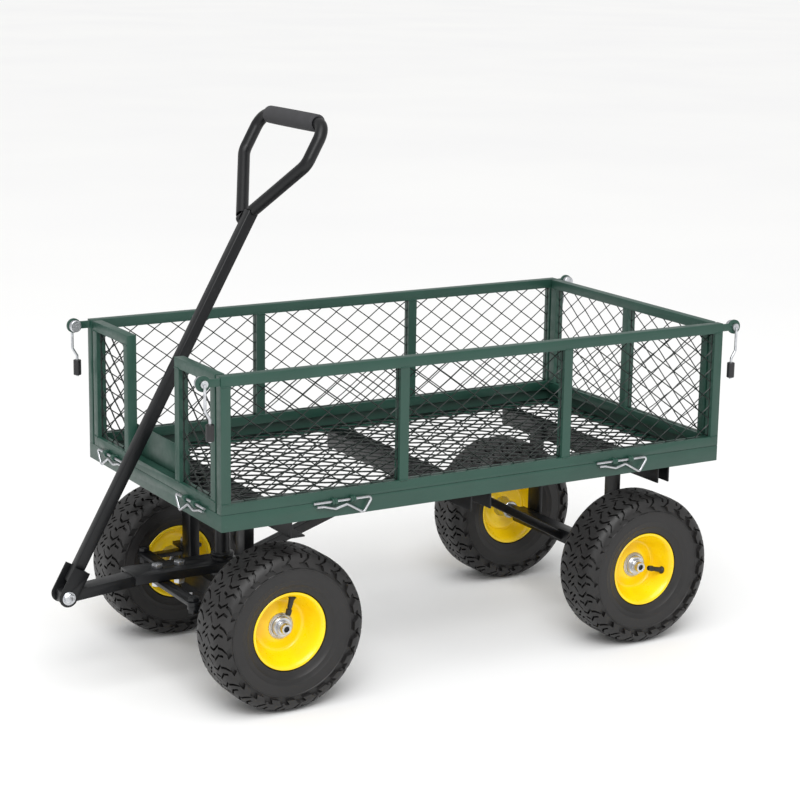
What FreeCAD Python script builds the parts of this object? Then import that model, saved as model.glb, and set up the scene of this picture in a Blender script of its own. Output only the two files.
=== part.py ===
import FreeCAD
import Part
import Sketcher
import math
import os
import re

# Garden cart: a mesh-sided tray on four pneumatic wheels, with steered front wheels and a pull handle.
# Axes: +X towards the rear, -X towards the handle, +Y to the left, +Z up. Sizes are in millimetres.
# Every position below is measured from the middle of the tray at floor level. One shift, found at the
# end, then moves the whole cart along X so that the origin lies under the middle of its bounding box.

doc = FreeCAD.newDocument("GardenCart")
sheet = doc.addObject("Spreadsheet::Sheet", "Dims")

SIZES = [
    ("x_shift", 0, "moves the whole cart along X"),
    ("bed_length", 940, "tray length over its rim"),
    ("bed_width", 508, "tray width over its rim"),
    ("bed_bottom", "=2 * wheel_radius + 50", "height of the underside of the rim"),
    ("rim_height", 26, "height of the angle-iron rim"),
    ("rim_ledge", 24, "width of the inward leg of the rim"),
    ("rim_wall", 3, "thickness of the rim"),
    ("deck_thick", 2.5, "thickness of the expanded metal deck"),
    ("mesh_long", 44, "long diagonal of a mesh diamond"),
    ("mesh_short", 32, "short diagonal of a mesh diamond"),
    ("deck_strand", 4, "strand width of the deck"),
    ("side_strand", 2.6, "strand width of the side mesh"),
    ("panel_height", 212, "height of a side panel"),
    ("panel_gap", 0.5, "play between the rim and a panel"),
    ("tube", 16, "square tube of the panels"),
    ("tube_wall", 1.5, "wall of the square tubes"),
    ("corner_gap", 5, "play between end panels and side panels"),
    ("gap_half", 90, "half of the gap that the handle passes through"),
    ("gap_plate_top", "=bed_bottom + 90", "height of the top of the plate in the gap"),
    ("hinge_out", 5.5, "hinge axis outside the face of the rim"),
    ("hinge_side", "=bed_length / 2 - 205", "side hinges, from the middle"),
    ("hinge_end", "=bed_width / 2 - 99", "end hinges, from the middle"),
    ("lug_radius", 5, "hinge lug radius"),
    ("lug_thick", 4, "hinge lug thickness"),
    ("lug_inner", 12, "inner face of the tray lugs, from the hinge middle"),
    ("pin_radius", 2, "hinge pin wire radius"),
    ("pin_half", 52, "half length of a hinge pin"),
    ("pin_drop", 24, "drop of the bent leg of a hinge pin"),
    ("latch_out", 27, "latch axis beyond the end of the panel"),
    (
        "latch_height", "=bed_bottom + rim_height + panel_gap + panel_height - 8.5",
        "height of the latch axis",
    ),
    ("latch_eye", 12, "outer radius of the latch eye"),
    ("latch_rod", 4, "latch rod radius"),
    ("latch_wire", 2.25, "latch wire radius"),
    ("latch_drop", 60, "length of the bare wire"),
    ("latch_grip", 26, "length of the latch grip"),
    ("cross_depth", 30, "depth of the cross members"),
    ("cross_half", "=bed_width / 2 - 14", "half length of the cross members"),
    ("front_axle", "=bed_length / 2 - 124", "front kingpins ahead of the middle"),
    ("rear_axle_at", "=bed_length / 2 - 133", "rear axle behind the middle"),
    ("wheel_radius", 130, "tyre radius"),
    ("tyre_half", 43, "half of the tyre width"),
    ("track_half", "=bed_width / 2 - 48", "half of the track"),
    ("lip_radius", 63, "rim lip radius"),
    ("seat_radius", "=lip_radius - 10", "bead seat radius"),
    ("well_radius", "=lip_radius - 18", "rim well radius"),
    ("rim_half", "=tyre_half - 9.5", "half of the rim width"),
    ("rim_sheet", 2.2, "rim sheet thickness"),
    ("hub_radius", 17, "hub radius"),
    ("hub_in", 32, "hub length inboard of the wheel plane"),
    ("hub_out", 7, "hub length outboard of the wheel plane"),
    ("axle_radius", 8, "stub axle radius"),
    ("axle_end", 20, "stub axle beyond the wheel plane"),
    ("fit", 0.1, "radial play of a shaft in its bore"),
    ("king_side", "=track_half - 68", "kingpin distance from the middle"),
    ("king_radius", 6, "kingpin bolt radius"),
    ("sleeve_radius", 13, "knuckle sleeve radius"),
    ("fork_low", "=wheel_radius - 40", "underside of the fork"),
    ("fork_high", "=wheel_radius + 44", "top of the fork"),
    ("fork_plate", 6, "fork plate thickness"),
    ("beam_half", "=king_side - 20", "half length of the front beam"),
    ("beam_deep", 40, "front beam along X"),
    ("beam_low", "=wheel_radius - 14", "underside of the front beam"),
    ("beam_high", "=wheel_radius + 16", "top of the front beam"),
    ("leg_side", "=beam_half - 17", "front legs from the middle"),
    ("leg_wide", 31, "front leg across"),
    ("leg_deep", 18, "front leg along X"),
    ("rear_leg_side", "=rear_beam_half - 32", "rear legs from the middle"),
    ("rear_leg_wide", 38, "rear leg across"),
    ("rear_leg_deep", 6, "rear leg thickness"),
    ("rear_beam", 24, "square rear axle tube"),
    ("rear_beam_half", "=track_half - 56", "half length of the rear axle tube"),
    ("column_radius", 13, "steering column radius"),
    ("hub_low", "=wheel_radius + 36", "underside of the drawbar hub"),
    ("hub_high", "=wheel_radius + 58", "top of the drawbar hub"),
    ("collar_radius", 19, "column collar radius"),
    ("plate_low", "=wheel_radius + 40", "lower edge of the steering plate"),
    ("plate_high", "=wheel_radius + 54", "top of the steering plate"),
    ("plate_thick", 4, "steering plate thickness"),
    ("plate_half", 30, "half of the steering plate width"),
    ("plate_ahead", "=front_axle + 166", "front end of the steering plate"),
    ("plate_behind", "=front_axle - 24", "rear end of the steering plate"),
    ("pivot_ahead", "=front_axle + 275", "handle pivot ahead of the middle"),
    ("pivot_height", "=wheel_radius + 32", "handle pivot height"),
    ("bar_tilt", 5, "rise of the drawbar in degrees"),
    ("bar_wide", 30, "drawbar width"),
    ("bar_deep", 18, "drawbar depth"),
    ("bar_end", "=front_axle + 146", "rear end of the drawbar tube"),
    ("rod_left", 77, "left tie rod ahead of the kingpins"),
    ("rod_right", 116, "right tie rod ahead of the kingpins"),
    ("rod_low", "=wheel_radius + 32", "underside of the tie rods"),
    ("rod_thick", 6, "tie rod thickness"),
    ("rod_wide", 22, "tie rod width"),
    ("rod_bolt", 5, "tie rod bolt radius"),
    ("arm_low", "=wheel_radius + 25.5", "underside of the knuckle arms"),
    ("arm_thick", 6, "knuckle arm thickness"),
    ("arm_wide", 20, "knuckle arm width"),
    ("lean", 29.2, "handle lean from upright in degrees"),
    ("cheek_thick", 3, "handle bracket sheet"),
    ("cheek_top", 48, "handle bracket length above the pivot"),
    ("eye_radius", 15, "rounded end of the handle bracket"),
    ("pole_side", 18, "handle pole, square"),
    ("pole_start", 22, "lower end of the pole above the pivot"),
    ("pole_top", "=loop_top - 166", "upper end of the pole above the pivot"),
    ("loop_radius", 10, "handle loop tube radius"),
    ("loop_half", 108, "half width of the handle loop"),
    ("loop_aside", 10, "loop centre to the left of the pole"),
    ("loop_top", 838, "grip axis above the pivot"),
    ("loop_knee", "=loop_top - 70", "knee of the handle loop above the pivot"),
    ("grip_radius", 14.5, "foam grip radius"),
    ("grip_half", "=loop_half - 26", "half length of the foam grip"),
    ("brace", 16, "square brace tube"),
    ("strap_behind", 42, "front brace strap behind the kingpins"),
    ("strap_thick", 5, "front brace strap thickness"),
    ("pivot_radius", 5, "handle pivot bolt radius"),
    ("bar_wall", 3, "wall of the beam and of the cross members"),
    ("cross_wide", 25, "cross member along X"),
    ("middle_wide", 40, "middle cross member along X"),
    ("fork_wide", 38, "fork plate along X"),
    ("fork_neck", 16, "upper part of the fork web along X"),
    ("fork_web", 4, "fork web thickness"),
    ("fork_over", 15, "fork plate beyond the kingpin"),
    ("king_nut", 19, "kingpin nut across its corners"),
    ("rod_nut", 16, "tie rod nut across its corners"),
    ("shoulder_radius", 12, "stub axle shoulder radius"),
    ("washer_radius", 14, "axle washer radius"),
    ("play", 0.5, "end play between turning pieces"),
    ("wheel_plane", 60, "shift that keeps the wheel outlines on one side"),
    ("drawn_at", 1000, "shift that keeps the side outlines on one side"),
]
NAMES = set(name for name, value, note in SIZES)

for row, (name, value, note) in enumerate(SIZES, start=1):
    sheet.set("A%d" % row, note)
    sheet.set("B%d" % row, str(value))
    sheet.setAlias("B%d" % row, name)
doc.recompute()

NODES = []


def ex(text):
    """An expression with every size name tied to the sheet."""
    return re.sub(r"[a-z_]+", lambda m: "Dims." + m.group() if m.group() in NAMES else m.group(), text)


def size(name):
    """The value of one size."""
    return float(getattr(sheet, name))


def place(obj, x, y, z):
    """Ties an object's position to the sheet."""
    for axis, text in zip("xyz", (x, y, z)):
        obj.setExpression("Placement.Base." + axis, ex(text))


def box(name, x, y, z, dx, dy, dz):
    """A box from its lowest corner and its three sizes."""
    obj = doc.addObject("Part::Box", name)
    for prop, text in zip(("Length", "Width", "Height"), (dx, dy, dz)):
        obj.setExpression(prop, ex(text))
    place(obj, x, y, z)
    return obj


TURNS = {
    "x": FreeCAD.Rotation(FreeCAD.Vector(0, 1, 0), 90),
    "y": FreeCAD.Rotation(FreeCAD.Vector(1, 0, 0), -90),
    "z": FreeCAD.Rotation(),
}


def rod(name, axis, x, y, z, radius, length):
    """A cylinder that starts at a point and runs along +X, +Y or +Z."""
    obj = doc.addObject("Part::Cylinder", name)
    obj.setExpression("Radius", ex(radius))
    obj.setExpression("Height", ex(length))
    obj.Placement = FreeCAD.Placement(FreeCAD.Vector(), TURNS[axis])
    place(obj, x, y, z)
    return obj


def hexagon(name, axis, x, y, z, across, length):
    """A hexagonal prism, given across its flats."""
    obj = doc.addObject("Part::Prism", name)
    obj.Polygon = 6
    obj.setExpression("Circumradius", ex("(" + across + ") / 2 / cos(30)"))
    obj.setExpression("Height", ex(length))
    obj.Placement = FreeCAD.Placement(FreeCAD.Vector(), TURNS[axis])
    place(obj, x, y, z)
    return obj


def join(name, pieces):
    """Several pieces as one."""
    if len(pieces) == 1:
        return pieces[0]
    obj = doc.addObject("Part::MultiFuse", name)
    obj.Shapes = pieces
    obj.Refine = True
    return obj


def subtract(name, base, tools):
    """A piece with others taken out of it."""
    obj = doc.addObject("Part::Cut", name)
    obj.Base = base
    obj.Tool = join(name + "_tools", tools)
    obj.Refine = True
    return obj


def made(name, shape):
    """A shape worked out in code from the sheet's sizes."""
    obj = doc.addObject("Part::Feature", name)
    obj.Shape = shape
    return obj


def finish(label, obj, at=("0", "0", "0"), axis=None, angle="0"):
    """Names a finished piece and puts it in its place on the cart."""
    if obj.TypeId in ("Part::Box", "Part::Cylinder", "Part::Prism"):
        group = doc.addObject("Part::Compound", label + "_set")
        group.Links = [obj]
        obj = group
    obj.Label = label
    if axis:
        obj.Placement = FreeCAD.Placement(FreeCAD.Vector(), FreeCAD.Rotation(FreeCAD.Vector(*axis), 1))
        obj.setExpression("Placement.Rotation.Angle", ex(angle))
    place(obj, "(" + at[0] + ") + x_shift", at[1], at[2])
    NODES.append(obj)
    return obj


def outline(body, name, plane, points):
    """A closed sketch whose corners are all tied to the sheet."""
    sketch = body.newObject("Sketcher::SketchObject", name)
    origin = [o for o in body.Origin.OriginFeatures if o.Role == plane][0]
    sketch.AttachmentSupport = [(origin, "")]
    sketch.MapMode = "FlatFace"
    values = [(value_of(a), value_of(b)) for a, b in points]
    count = len(points)
    for i in range(count):
        start = FreeCAD.Vector(values[i][0], values[i][1], 0)
        end = FreeCAD.Vector(values[(i + 1) % count][0], values[(i + 1) % count][1], 0)
        sketch.addGeometry(Part.LineSegment(start, end), False)
    for i in range(count):
        sketch.addConstraint(Sketcher.Constraint("Coincident", i, 2, (i + 1) % count, 1))
    for i in range(count):
        for kind, value, text in zip(("DistanceX", "DistanceY"), values[i], points[i]):
            index = sketch.addConstraint(Sketcher.Constraint(kind, -1, 1, i, 1, value))
            sketch.setExpression("Constraints[%d]" % index, ex(text))
    return sketch


def value_of(text):
    """The number that an expression of sizes gives."""
    return float(work_out(text))


def work_out(text):
    """Works out a sum of sizes through a spare cell of the sheet."""
    sheet.set("E1", "=" + text)
    doc.recompute([sheet])
    return sheet.get("E1")


def revolved(name, points):
    """A body turned about the Y axis from (along, radius) corners. The outline stays at positive values."""
    body = doc.addObject("PartDesign::Body", name)
    sketch = outline(body, name + "_outline", "YZ_Plane", points)
    turn = body.newObject("PartDesign::Revolution", name + "_turn")
    turn.Profile = sketch
    turn.ReferenceAxis = (sketch, ["H_Axis"])
    turn.Angle = 360
    body.Tip = turn
    sketch.Visibility = False
    return body


def padded(name, points, width):
    """A body from (x, z) corners, given a width across Y. It runs from Y = 0 towards -Y."""
    body = doc.addObject("PartDesign::Body", name)
    sketch = outline(body, name + "_outline", "XZ_Plane", points)
    pad = body.newObject("PartDesign::Pad", name + "_pad")
    pad.Profile = sketch
    pad.setExpression("Length", ex(width))
    body.Tip = pad
    sketch.Visibility = False
    return body


def clip(points, low, high):
    """A convex polygon cut to a rectangle."""
    for axis in (0, 1):
        for limit, sign in ((low[axis], 1), (high[axis], -1)):
            kept = []
            for i, p in enumerate(points):
                q = points[(i + 1) % len(points)]
                a = sign * (p[axis] - limit)
                b = sign * (q[axis] - limit)
                if a >= 0:
                    kept.append(p)
                if a * b < 0:
                    t = a / (a - b)
                    kept.append((p[0] + t * (q[0] - p[0]), p[1] + t * (q[1] - p[1])))
            points = kept
    return points


def area(points):
    """Area of a polygon."""
    total = 0
    for i, p in enumerate(points):
        q = points[(i + 1) % len(points)]
        total += p[0] * q[1] - q[0] * p[1]
    return abs(total) / 2


def loop_wire(points):
    """A closed flat wire through corners."""
    corners = [FreeCAD.Vector(x, y, 0) for x, y in points]
    return Part.makePolygon(corners + corners[:1])


def diamond_sheet(wide, high, strand, thick):
    """Expanded metal in the XY plane, centred, with whole and trimmed diamonds inside a thin border."""
    pitch_x = size("mesh_long")
    pitch_y = size("mesh_short")
    half_x = pitch_x / 2 - strand / 2 / math.sin(math.atan(pitch_y / pitch_x))
    half_y = half_x * pitch_y / pitch_x
    low = (-wide / 2 + 2, -high / 2 + 2)
    high_corner = (wide / 2 - 2, high / 2 - 2)
    wires = [loop_wire([
        (-wide / 2, -high / 2), (wide / 2, -high / 2), (wide / 2, high / 2), (-wide / 2, high / 2),
    ])]
    across = int(wide / pitch_x) + 2
    up = int(high / pitch_y) + 2
    for i in range(-across, across + 1):
        for j in range(-up, up + 1):
            if (i + j) % 2:
                continue
            x = i * pitch_x / 2
            y = j * pitch_y / 2
            diamond = [(x - half_x, y), (x, y - half_y), (x + half_x, y), (x, y + half_y)]
            hole = clip(diamond, low, high_corner)
            if len(hole) > 2 and area(hole) > 20:
                wires.append(loop_wire(hole))
    face = Part.makeFace(wires, "Part::FaceMakerBullseye")
    return face.extrude(FreeCAD.Vector(0, 0, thick))


def stand(shape, turn, base):
    """A flat shape turned and moved to its place."""
    shape.Placement = FreeCAD.Placement(FreeCAD.Vector(*base), turn)
    return shape


def bent_wire(points, radius, fillet, bore=0):
    """Round wire or tube along a path with rounded bends."""
    path = [FreeCAD.Vector(*p) for p in points]
    edges = []
    start = path[0]
    for i in range(1, len(path) - 1):
        before = (path[i - 1] - path[i]).normalize()
        after = (path[i + 1] - path[i]).normalize()
        half = before.getAngle(after) / 2
        back = min(
            fillet / math.tan(half),
            0.45 * min(path[i - 1].distanceToPoint(path[i]), path[i + 1].distanceToPoint(path[i])),
        )
        into = path[i] + before * back
        out = path[i] + after * back
        middle = path[i] + (before + after).normalize() * (back / math.cos(half) - back * math.tan(half))
        edges.append(Part.LineSegment(start, into).toShape())
        edges.append(Part.Arc(into, middle, out).toShape())
        start = out
    edges.append(Part.LineSegment(start, path[-1]).toShape())
    spine = Part.Wire(edges)
    along = path[1] - path[0]
    rings = [Part.Wire([Part.Circle(path[0], along, radius).toShape()])]
    if bore:
        rings.append(Part.Wire([Part.Circle(path[0], along, bore).toShape()]))
    return spine.makePipe(Part.makeFace(rings, "Part::FaceMakerBullseye"))


# ---------------------------------------------------------------- tray

SIDES = {"right": -1, "left": 1}
ENDS = {"front": -1, "rear": 1}


def lug(name, along, x, y, z, sign_out, up):
    """A hinge lug: a disc about the axis and a foot that reaches the face it is welded to."""
    across = "y" if along == "x" else "x"
    disc = rod(name + "_disc", along, x, y, z, "lug_radius", "lug_thick")
    foot_z = z if up else "(" + z + ") - lug_radius"
    if sign_out > 0:
        start = y if across == "y" else x
        start = "(" + start + ") - hinge_out"
    else:
        start = y if across == "y" else x
    if across == "y":
        foot = box(name + "_foot", x, start, foot_z, "lug_thick", "hinge_out", "lug_radius")
    else:
        foot = box(name + "_foot", start, y, foot_z, "hinge_out", "lug_thick", "lug_radius")
    bore = rod(name + "_bore", along, x, y, z, "pin_radius + fit", "lug_thick")
    return [disc, foot], bore


def axis_height():
    """Height of the hinge axes."""
    return "bed_bottom + rim_height"


def side_lugs(name, side, offset):
    """The lugs of one long side, at a distance from each hinge middle."""
    sign = SIDES[side]
    solids = []
    bores = []
    for k, place_sign in enumerate((-1, 1)):
        for j, hand in enumerate((-1, 1)):
            near = offset if hand > 0 else "-(" + offset + ") - lug_thick"
            x = "%d * hinge_side + (%s)" % (place_sign, near)
            y = "%d * (bed_width / 2 + hinge_out)" % sign
            up = name.startswith("panel")
            made_lug, bore = lug("%s_%s_%d%d" % (name, side, k, j), "x", x, y, axis_height(), sign, up)
            solids += made_lug
            bores.append(bore)
    return solids, bores


def end_lugs(name, end, offset):
    """The lugs of one end, at a distance from each hinge middle."""
    sign = ENDS[end]
    solids = []
    bores = []
    for k, place_sign in enumerate((-1, 1)):
        for j, hand in enumerate((-1, 1)):
            near = offset if hand > 0 else "-(" + offset + ") - lug_thick"
            y = "%d * hinge_end + (%s)" % (place_sign, near)
            x = "%d * (bed_length / 2 + hinge_out)" % sign
            up = name.startswith("panel")
            made_lug, bore = lug("%s_%s_%d%d" % (name, end, k, j), "y", x, y, axis_height(), sign, up)
            solids += made_lug
            bores.append(bore)
    return solids, bores


def make_tray():
    """The angle-iron rim with its hinge lugs, the deck and the plate in the front gap."""
    outer = box(
        "rim_outer", "-bed_length / 2", "-bed_width / 2", "bed_bottom", "bed_length", "bed_width",
        "rim_height",
    )
    upper = box(
        "rim_upper", "-bed_length / 2 + rim_wall", "-bed_width / 2 + rim_wall", "bed_bottom + rim_wall",
        "bed_length - 2 * rim_wall", "bed_width - 2 * rim_wall", "rim_height",
    )
    lower = box(
        "rim_lower", "-bed_length / 2 + rim_ledge", "-bed_width / 2 + rim_ledge", "bed_bottom - 1",
        "bed_length - 2 * rim_ledge", "bed_width - 2 * rim_ledge", "rim_height",
    )
    rim = subtract("rim", outer, [upper, lower])
    solids = [rim]
    bores = []
    for side in SIDES:
        more, holes = side_lugs("tray_lug", side, "lug_inner")
        solids += more
        bores += holes
    for end in ENDS:
        more, holes = end_lugs("tray_lug", end, "lug_inner")
        solids += more
        bores += holes
    finish("tray_frame", subtract("tray_lugged", join("tray_joined", solids), bores))
    front = -size("bed_length") / 2 + size("tube") + 5
    back = size("bed_length") / 2 - size("rim_wall") - 1
    long = back - front
    wide = size("bed_width") - 2 * size("rim_wall") - 2
    deck = diamond_sheet(long, wide, size("deck_strand"), size("deck_thick"))
    finish(
        "deck_mesh", made("deck_sheet", deck),
        ("(tube + 4 - rim_wall) / 2", "0", "bed_bottom + rim_wall"),
    )
    plate = box(
        "gap_sheet", "-bed_length / 2 + tube + 2", "-gap_half - 12", "bed_bottom + rim_wall",
        "2", "2 * gap_half + 24", "gap_plate_top - bed_bottom - rim_wall",
    )
    finish("gap_plate", plate)


def make_cross_members():
    """Three members under the tray: a channel in front, and two folded ones that open downwards."""
    outer = box(
        "front_outer", "-front_axle", "-cross_half", "bed_bottom - cross_depth",
        "cross_wide", "2 * cross_half", "cross_depth",
    )
    inner = box(
        "front_inner", "bar_wall - front_axle", "-cross_half - 1", "bed_bottom - cross_depth + bar_wall",
        "cross_wide + 1 - bar_wall", "2 * cross_half + 2", "cross_depth - 2 * bar_wall",
    )
    finish("cross_member_front", subtract("front_cut", outer, [inner]))
    folded("cross_member_middle", "-middle_wide / 2", "middle_wide")
    folded("cross_member_rear", "rear_axle_at + rear_beam / 2 + rear_leg_deep", "cross_wide")


def folded(label, x, wide):
    """A member across the tray that is open below."""
    outer = box(
        label + "_outer", x, "-cross_half", "bed_bottom - cross_depth",
        wide, "2 * cross_half", "cross_depth",
    )
    inner = box(
        label + "_inner", x + " + bar_wall", "-cross_half - 1", "bed_bottom - cross_depth - 1",
        wide + " - 2 * bar_wall", "2 * cross_half + 2", "cross_depth + 1 - bar_wall",
    )
    finish(label, subtract(label + "_cut", outer, [inner]))


def hollow(name, x, y, z, dx, dy, dz, wall="tube_wall"):
    """A closed square tube."""
    outer = box(name + "_out", x, y, z, dx, dy, dz)
    twice = " - 2 * " + wall
    core = box(
        name + "_core", "(" + x + ") + " + wall, "(" + y + ") + " + wall, "(" + z + ") + " + wall,
        "(" + dx + ")" + twice, "(" + dy + ")" + twice, "(" + dz + ")" + twice,
    )
    return outer, core


def tubes(label, members):
    """One frame welded from closed tubes: all the outsides, less all the hollows."""
    outers = []
    cores = []
    for i, member in enumerate(members):
        outer, core = hollow("%s_%d" % (label, i), *member)
        outers.append(outer)
        cores.append(core)
    return outers, cores


def make_front_axle():
    """Front legs, beam with its forks, steering column and knuckle bolts."""
    members = []
    for sign in (-1, 1):
        y = "%d * leg_side - leg_wide / 2" % sign
        members.append((
            "-front_axle - leg_deep", y, "beam_high", "leg_deep", "leg_wide",
            "bed_bottom - beam_high",
        ))
    outers, cores = tubes("front_leg", members)
    finish("front_legs", subtract("front_legs_cut", join("front_legs_out", outers), cores))

    outer, core = hollow(
        "front_beam_tube", "-front_axle - beam_deep / 2", "-beam_half", "beam_low",
        "beam_deep", "2 * beam_half", "beam_high - beam_low", "bar_wall",
    )
    pieces = [outer]
    holes = [core]
    for side, sign in SIDES.items():
        start = "beam_half" if sign > 0 else "-beam_half - fork_web"
        pieces.append(box(
            side + "_fork_web", "-front_axle - fork_wide / 2", start, "fork_low",
            "fork_wide", "fork_web", "arm_low - 5 - fork_low",
        ))
        pieces.append(box(
            side + "_fork_neck", "-front_axle - fork_neck / 2", start, "fork_low",
            "fork_neck", "fork_web", "fork_high - fork_low",
        ))
        start = "beam_half" if sign > 0 else "-king_side - fork_over"
        for level in ("fork_low", "fork_high - fork_plate"):
            name = side + "_fork_" + level.split()[0]
            pieces.append(box(
                name, "-front_axle - fork_wide / 2", start, level,
                "fork_wide", "king_side + fork_over - beam_half", "fork_plate",
            ))
        hole = rod(
            side + "_fork_hole", "z", "-front_axle", "%d * king_side" % sign, "fork_low - 1",
            "king_radius", "fork_high - fork_low + 2",
        )
        holes.append(hole)
    finish("front_beam", subtract("front_beam_cut", join("front_beam_out", pieces), holes))

    column = rod(
        "column_post", "z", "-front_axle", "0", "beam_high", "column_radius",
        "bed_bottom - cross_depth - 6 - beam_high",
    )
    top = box("column_top", "-front_axle - 18", "-30", "bed_bottom - cross_depth - 6", "43", "60", "6")
    low = rod("column_low", "z", "-front_axle", "0", "hub_low - 8", "collar_radius", "7.5")
    high = rod("column_high", "z", "-front_axle", "0", "hub_high + 0.5", "collar_radius", "6")
    finish("steering_column", join("column_joined", [column, top, low, high]))

    bolts = []
    for side, sign in SIDES.items():
        y = "%d * king_side" % sign
        shank = rod(
            side + "_king_shank", "z", "-front_axle", y, "fork_low - 12", "king_radius",
            "fork_high - fork_low + 12",
        )
        head = hexagon(side + "_king_head", "z", "-front_axle", y, "fork_high", "king_nut", "7.5")
        nut = hexagon(side + "_king_nut", "z", "-front_axle", y, "fork_low - 10", "king_nut", "10")
        bolts.append(join(side + "_king_bolt", [shank, head, nut]))
    group = doc.addObject("Part::Compound", "king_bolts_set")
    group.Links = bolts
    finish("knuckle_bolts", group)


def make_rear_axle():
    """Rear legs and the fixed rear axle."""
    legs = []
    for side, sign in SIDES.items():
        y = "%d * rear_leg_side - rear_leg_wide / 2" % sign
        low = "wheel_radius - rear_beam / 2"
        legs.append(box(
            side + "_rear_leg", "rear_axle_at + rear_beam / 2", y, low, "rear_leg_deep",
            "rear_leg_wide", "bed_bottom - (%s)" % low,
        ))
    finish("rear_legs", join("rear_legs_pair", legs))
    outer, core = hollow(
        "rear_tube", "rear_axle_at - rear_beam / 2", "-rear_beam_half", "wheel_radius - rear_beam / 2",
        "rear_beam", "2 * rear_beam_half", "rear_beam", "2.5",
    )
    pieces = [outer]
    for side, sign in SIDES.items():
        pieces += stub(side + "_rear", sign, "rear_axle_at", "rear_beam_half")
    finish("rear_axle", subtract("rear_axle_cut", join("rear_axle_out", pieces), [core]))
    rings = []
    for side, sign in SIDES.items():
        rings.append(retainer(side + "_rear", sign, "rear_axle_at"))
    group = doc.addObject("Part::Compound", "rear_washers_set")
    group.Links = rings
    finish("rear_washers", group)


def stub(name, sign, x, start):
    """A stub axle with its shoulder, from a distance out to its end."""
    shoulder = "track_half - hub_in - play"
    first = start if sign > 0 else "-(" + shoulder + ")"
    collar = rod(
        name + "_shoulder", "y", x, first, "wheel_radius", "shoulder_radius",
        "(" + shoulder + ") - (" + start + ")",
    )
    first = start if sign > 0 else "-track_half - axle_end"
    shaft = rod(
        name + "_shaft", "y", x, first, "wheel_radius", "axle_radius",
        "track_half + axle_end - (" + start + ")",
    )
    return [collar, shaft]


def retainer(name, sign, x):
    """The washer outside the hub."""
    first = "track_half + hub_out + play" if sign > 0 else "-track_half - hub_out - play - 2"
    disc = rod(name + "_washer", "y", x, first, "wheel_radius", "washer_radius", "2")
    hole = rod(name + "_washer_hole", "y", x, first, "wheel_radius", "axle_radius", "2")
    return subtract(name + "_washer_cut", disc, [hole])


def make_braces():
    """The two central braces that run down from the middle member."""
    half = "brace / 2 + 0.5"
    x0 = "drawn_at - front_axle + strap_behind + strap_thick"
    x1 = "drawn_at - middle_wide / 2"
    z0 = "beam_high + 37.5"
    z1 = "bed_bottom - cross_depth - 5.3"
    bar = padded("brace_front_bar", sloping(x0, z0, x1, z1, half), "brace")
    place(bar, "-drawn_at", "brace / 2", "0")
    strap = box(
        "brace_strap", "-front_axle + strap_behind", "-brace / 2", "beam_low + 2",
        "strap_thick", "brace", "beam_high + 47 - beam_low",
    )
    block = box(
        "brace_block", "-front_axle + beam_deep / 2", "-brace / 2", "beam_low + 4",
        "strap_behind - beam_deep / 2", "brace", "22",
    )
    finish("brace_front", join("brace_front_joined", [bar, strap, block]))
    x0 = "drawn_at + middle_wide / 2"
    x1 = "drawn_at + rear_axle_at - rear_beam / 2"
    z0 = "bed_bottom - 13"
    z1 = "wheel_radius - 1"
    bar = padded("brace_rear_bar", sloping(x0, z0, x1, z1, half), "brace")
    finish("brace_rear", bar, ("-drawn_at", "brace / 2", "0"))


def sloping(x0, z0, x1, z1, half):
    """Corners of a bar with upright ends between two points of its middle line."""
    return [
        (x0, z0 + " - " + half), (x1, z1 + " - " + half), (x1, z1 + " + " + half),
        (x0, z0 + " + " + half),
    ]


def hinge_pin(name, along, x, y):
    """One bent wire pin: the straight rod through the lugs and the springy return leg below it."""
    half = size("pin_half")
    drop = size("pin_drop")
    profile = [
        (-half, 0), (half, 0), (half - 16, -drop), (half - 45, -7), (half - 65, -12),
        (half - 86, -6.5), (6 - half, -6),
    ]
    z = size("bed_bottom") + size("rim_height")
    if along == "x":
        points = [(x + a, y, z + b) for a, b in profile]
    else:
        points = [(x, y + a, z + b) for a, b in profile]
    return bent_wire(points, size("pin_radius"), 4)


def make_pins():
    """The eight hinge pins, all alike."""
    shapes = []
    for sign in (-1, 1):
        for hand in (-1, 1):
            y = sign * (size("bed_width") / 2 + size("hinge_out"))
            shapes.append(hinge_pin("side_pin", "x", hand * size("hinge_side"), y))
            x = sign * (size("bed_length") / 2 + size("hinge_out"))
            shapes.append(hinge_pin("end_pin", "y", x, hand * size("hinge_end")))
    finish("hinge_pins", made("hinge_pins_wires", Part.makeCompound(shapes)))


# ---------------------------------------------------------------- panels

BASE = "bed_bottom + rim_height + panel_gap"
OUTER_LUG = "lug_inner + lug_thick + 0.5"


def panel_mesh(label, bays, flat, line):
    """The mesh of one panel, a sheet in each bay. A bay is its two ends along the panel."""
    sheets = []
    low = size("bed_bottom") + size("rim_height") + size("panel_gap") + size("tube")
    high = low + size("panel_height") - 2 * size("tube")
    thick = 2.4
    for first, last in bays:
        mesh = diamond_sheet(last - first, high - low, size("side_strand"), thick)
        middle = (first + last) / 2
        if flat == "y":
            turn = FreeCAD.Rotation(FreeCAD.Vector(1, 0, 0), 90)
            base = (middle, line + thick / 2, (low + high) / 2)
        else:
            turn = FreeCAD.Rotation(FreeCAD.Vector(0, 0, 1), 90) * FreeCAD.Rotation(FreeCAD.Vector(1, 0, 0), 90)
            base = (line - thick / 2, middle, (low + high) / 2)
        sheets.append(stand(mesh, turn, base))
    finish(label, made(label + "_sheets", Part.makeCompound(sheets)))


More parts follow.
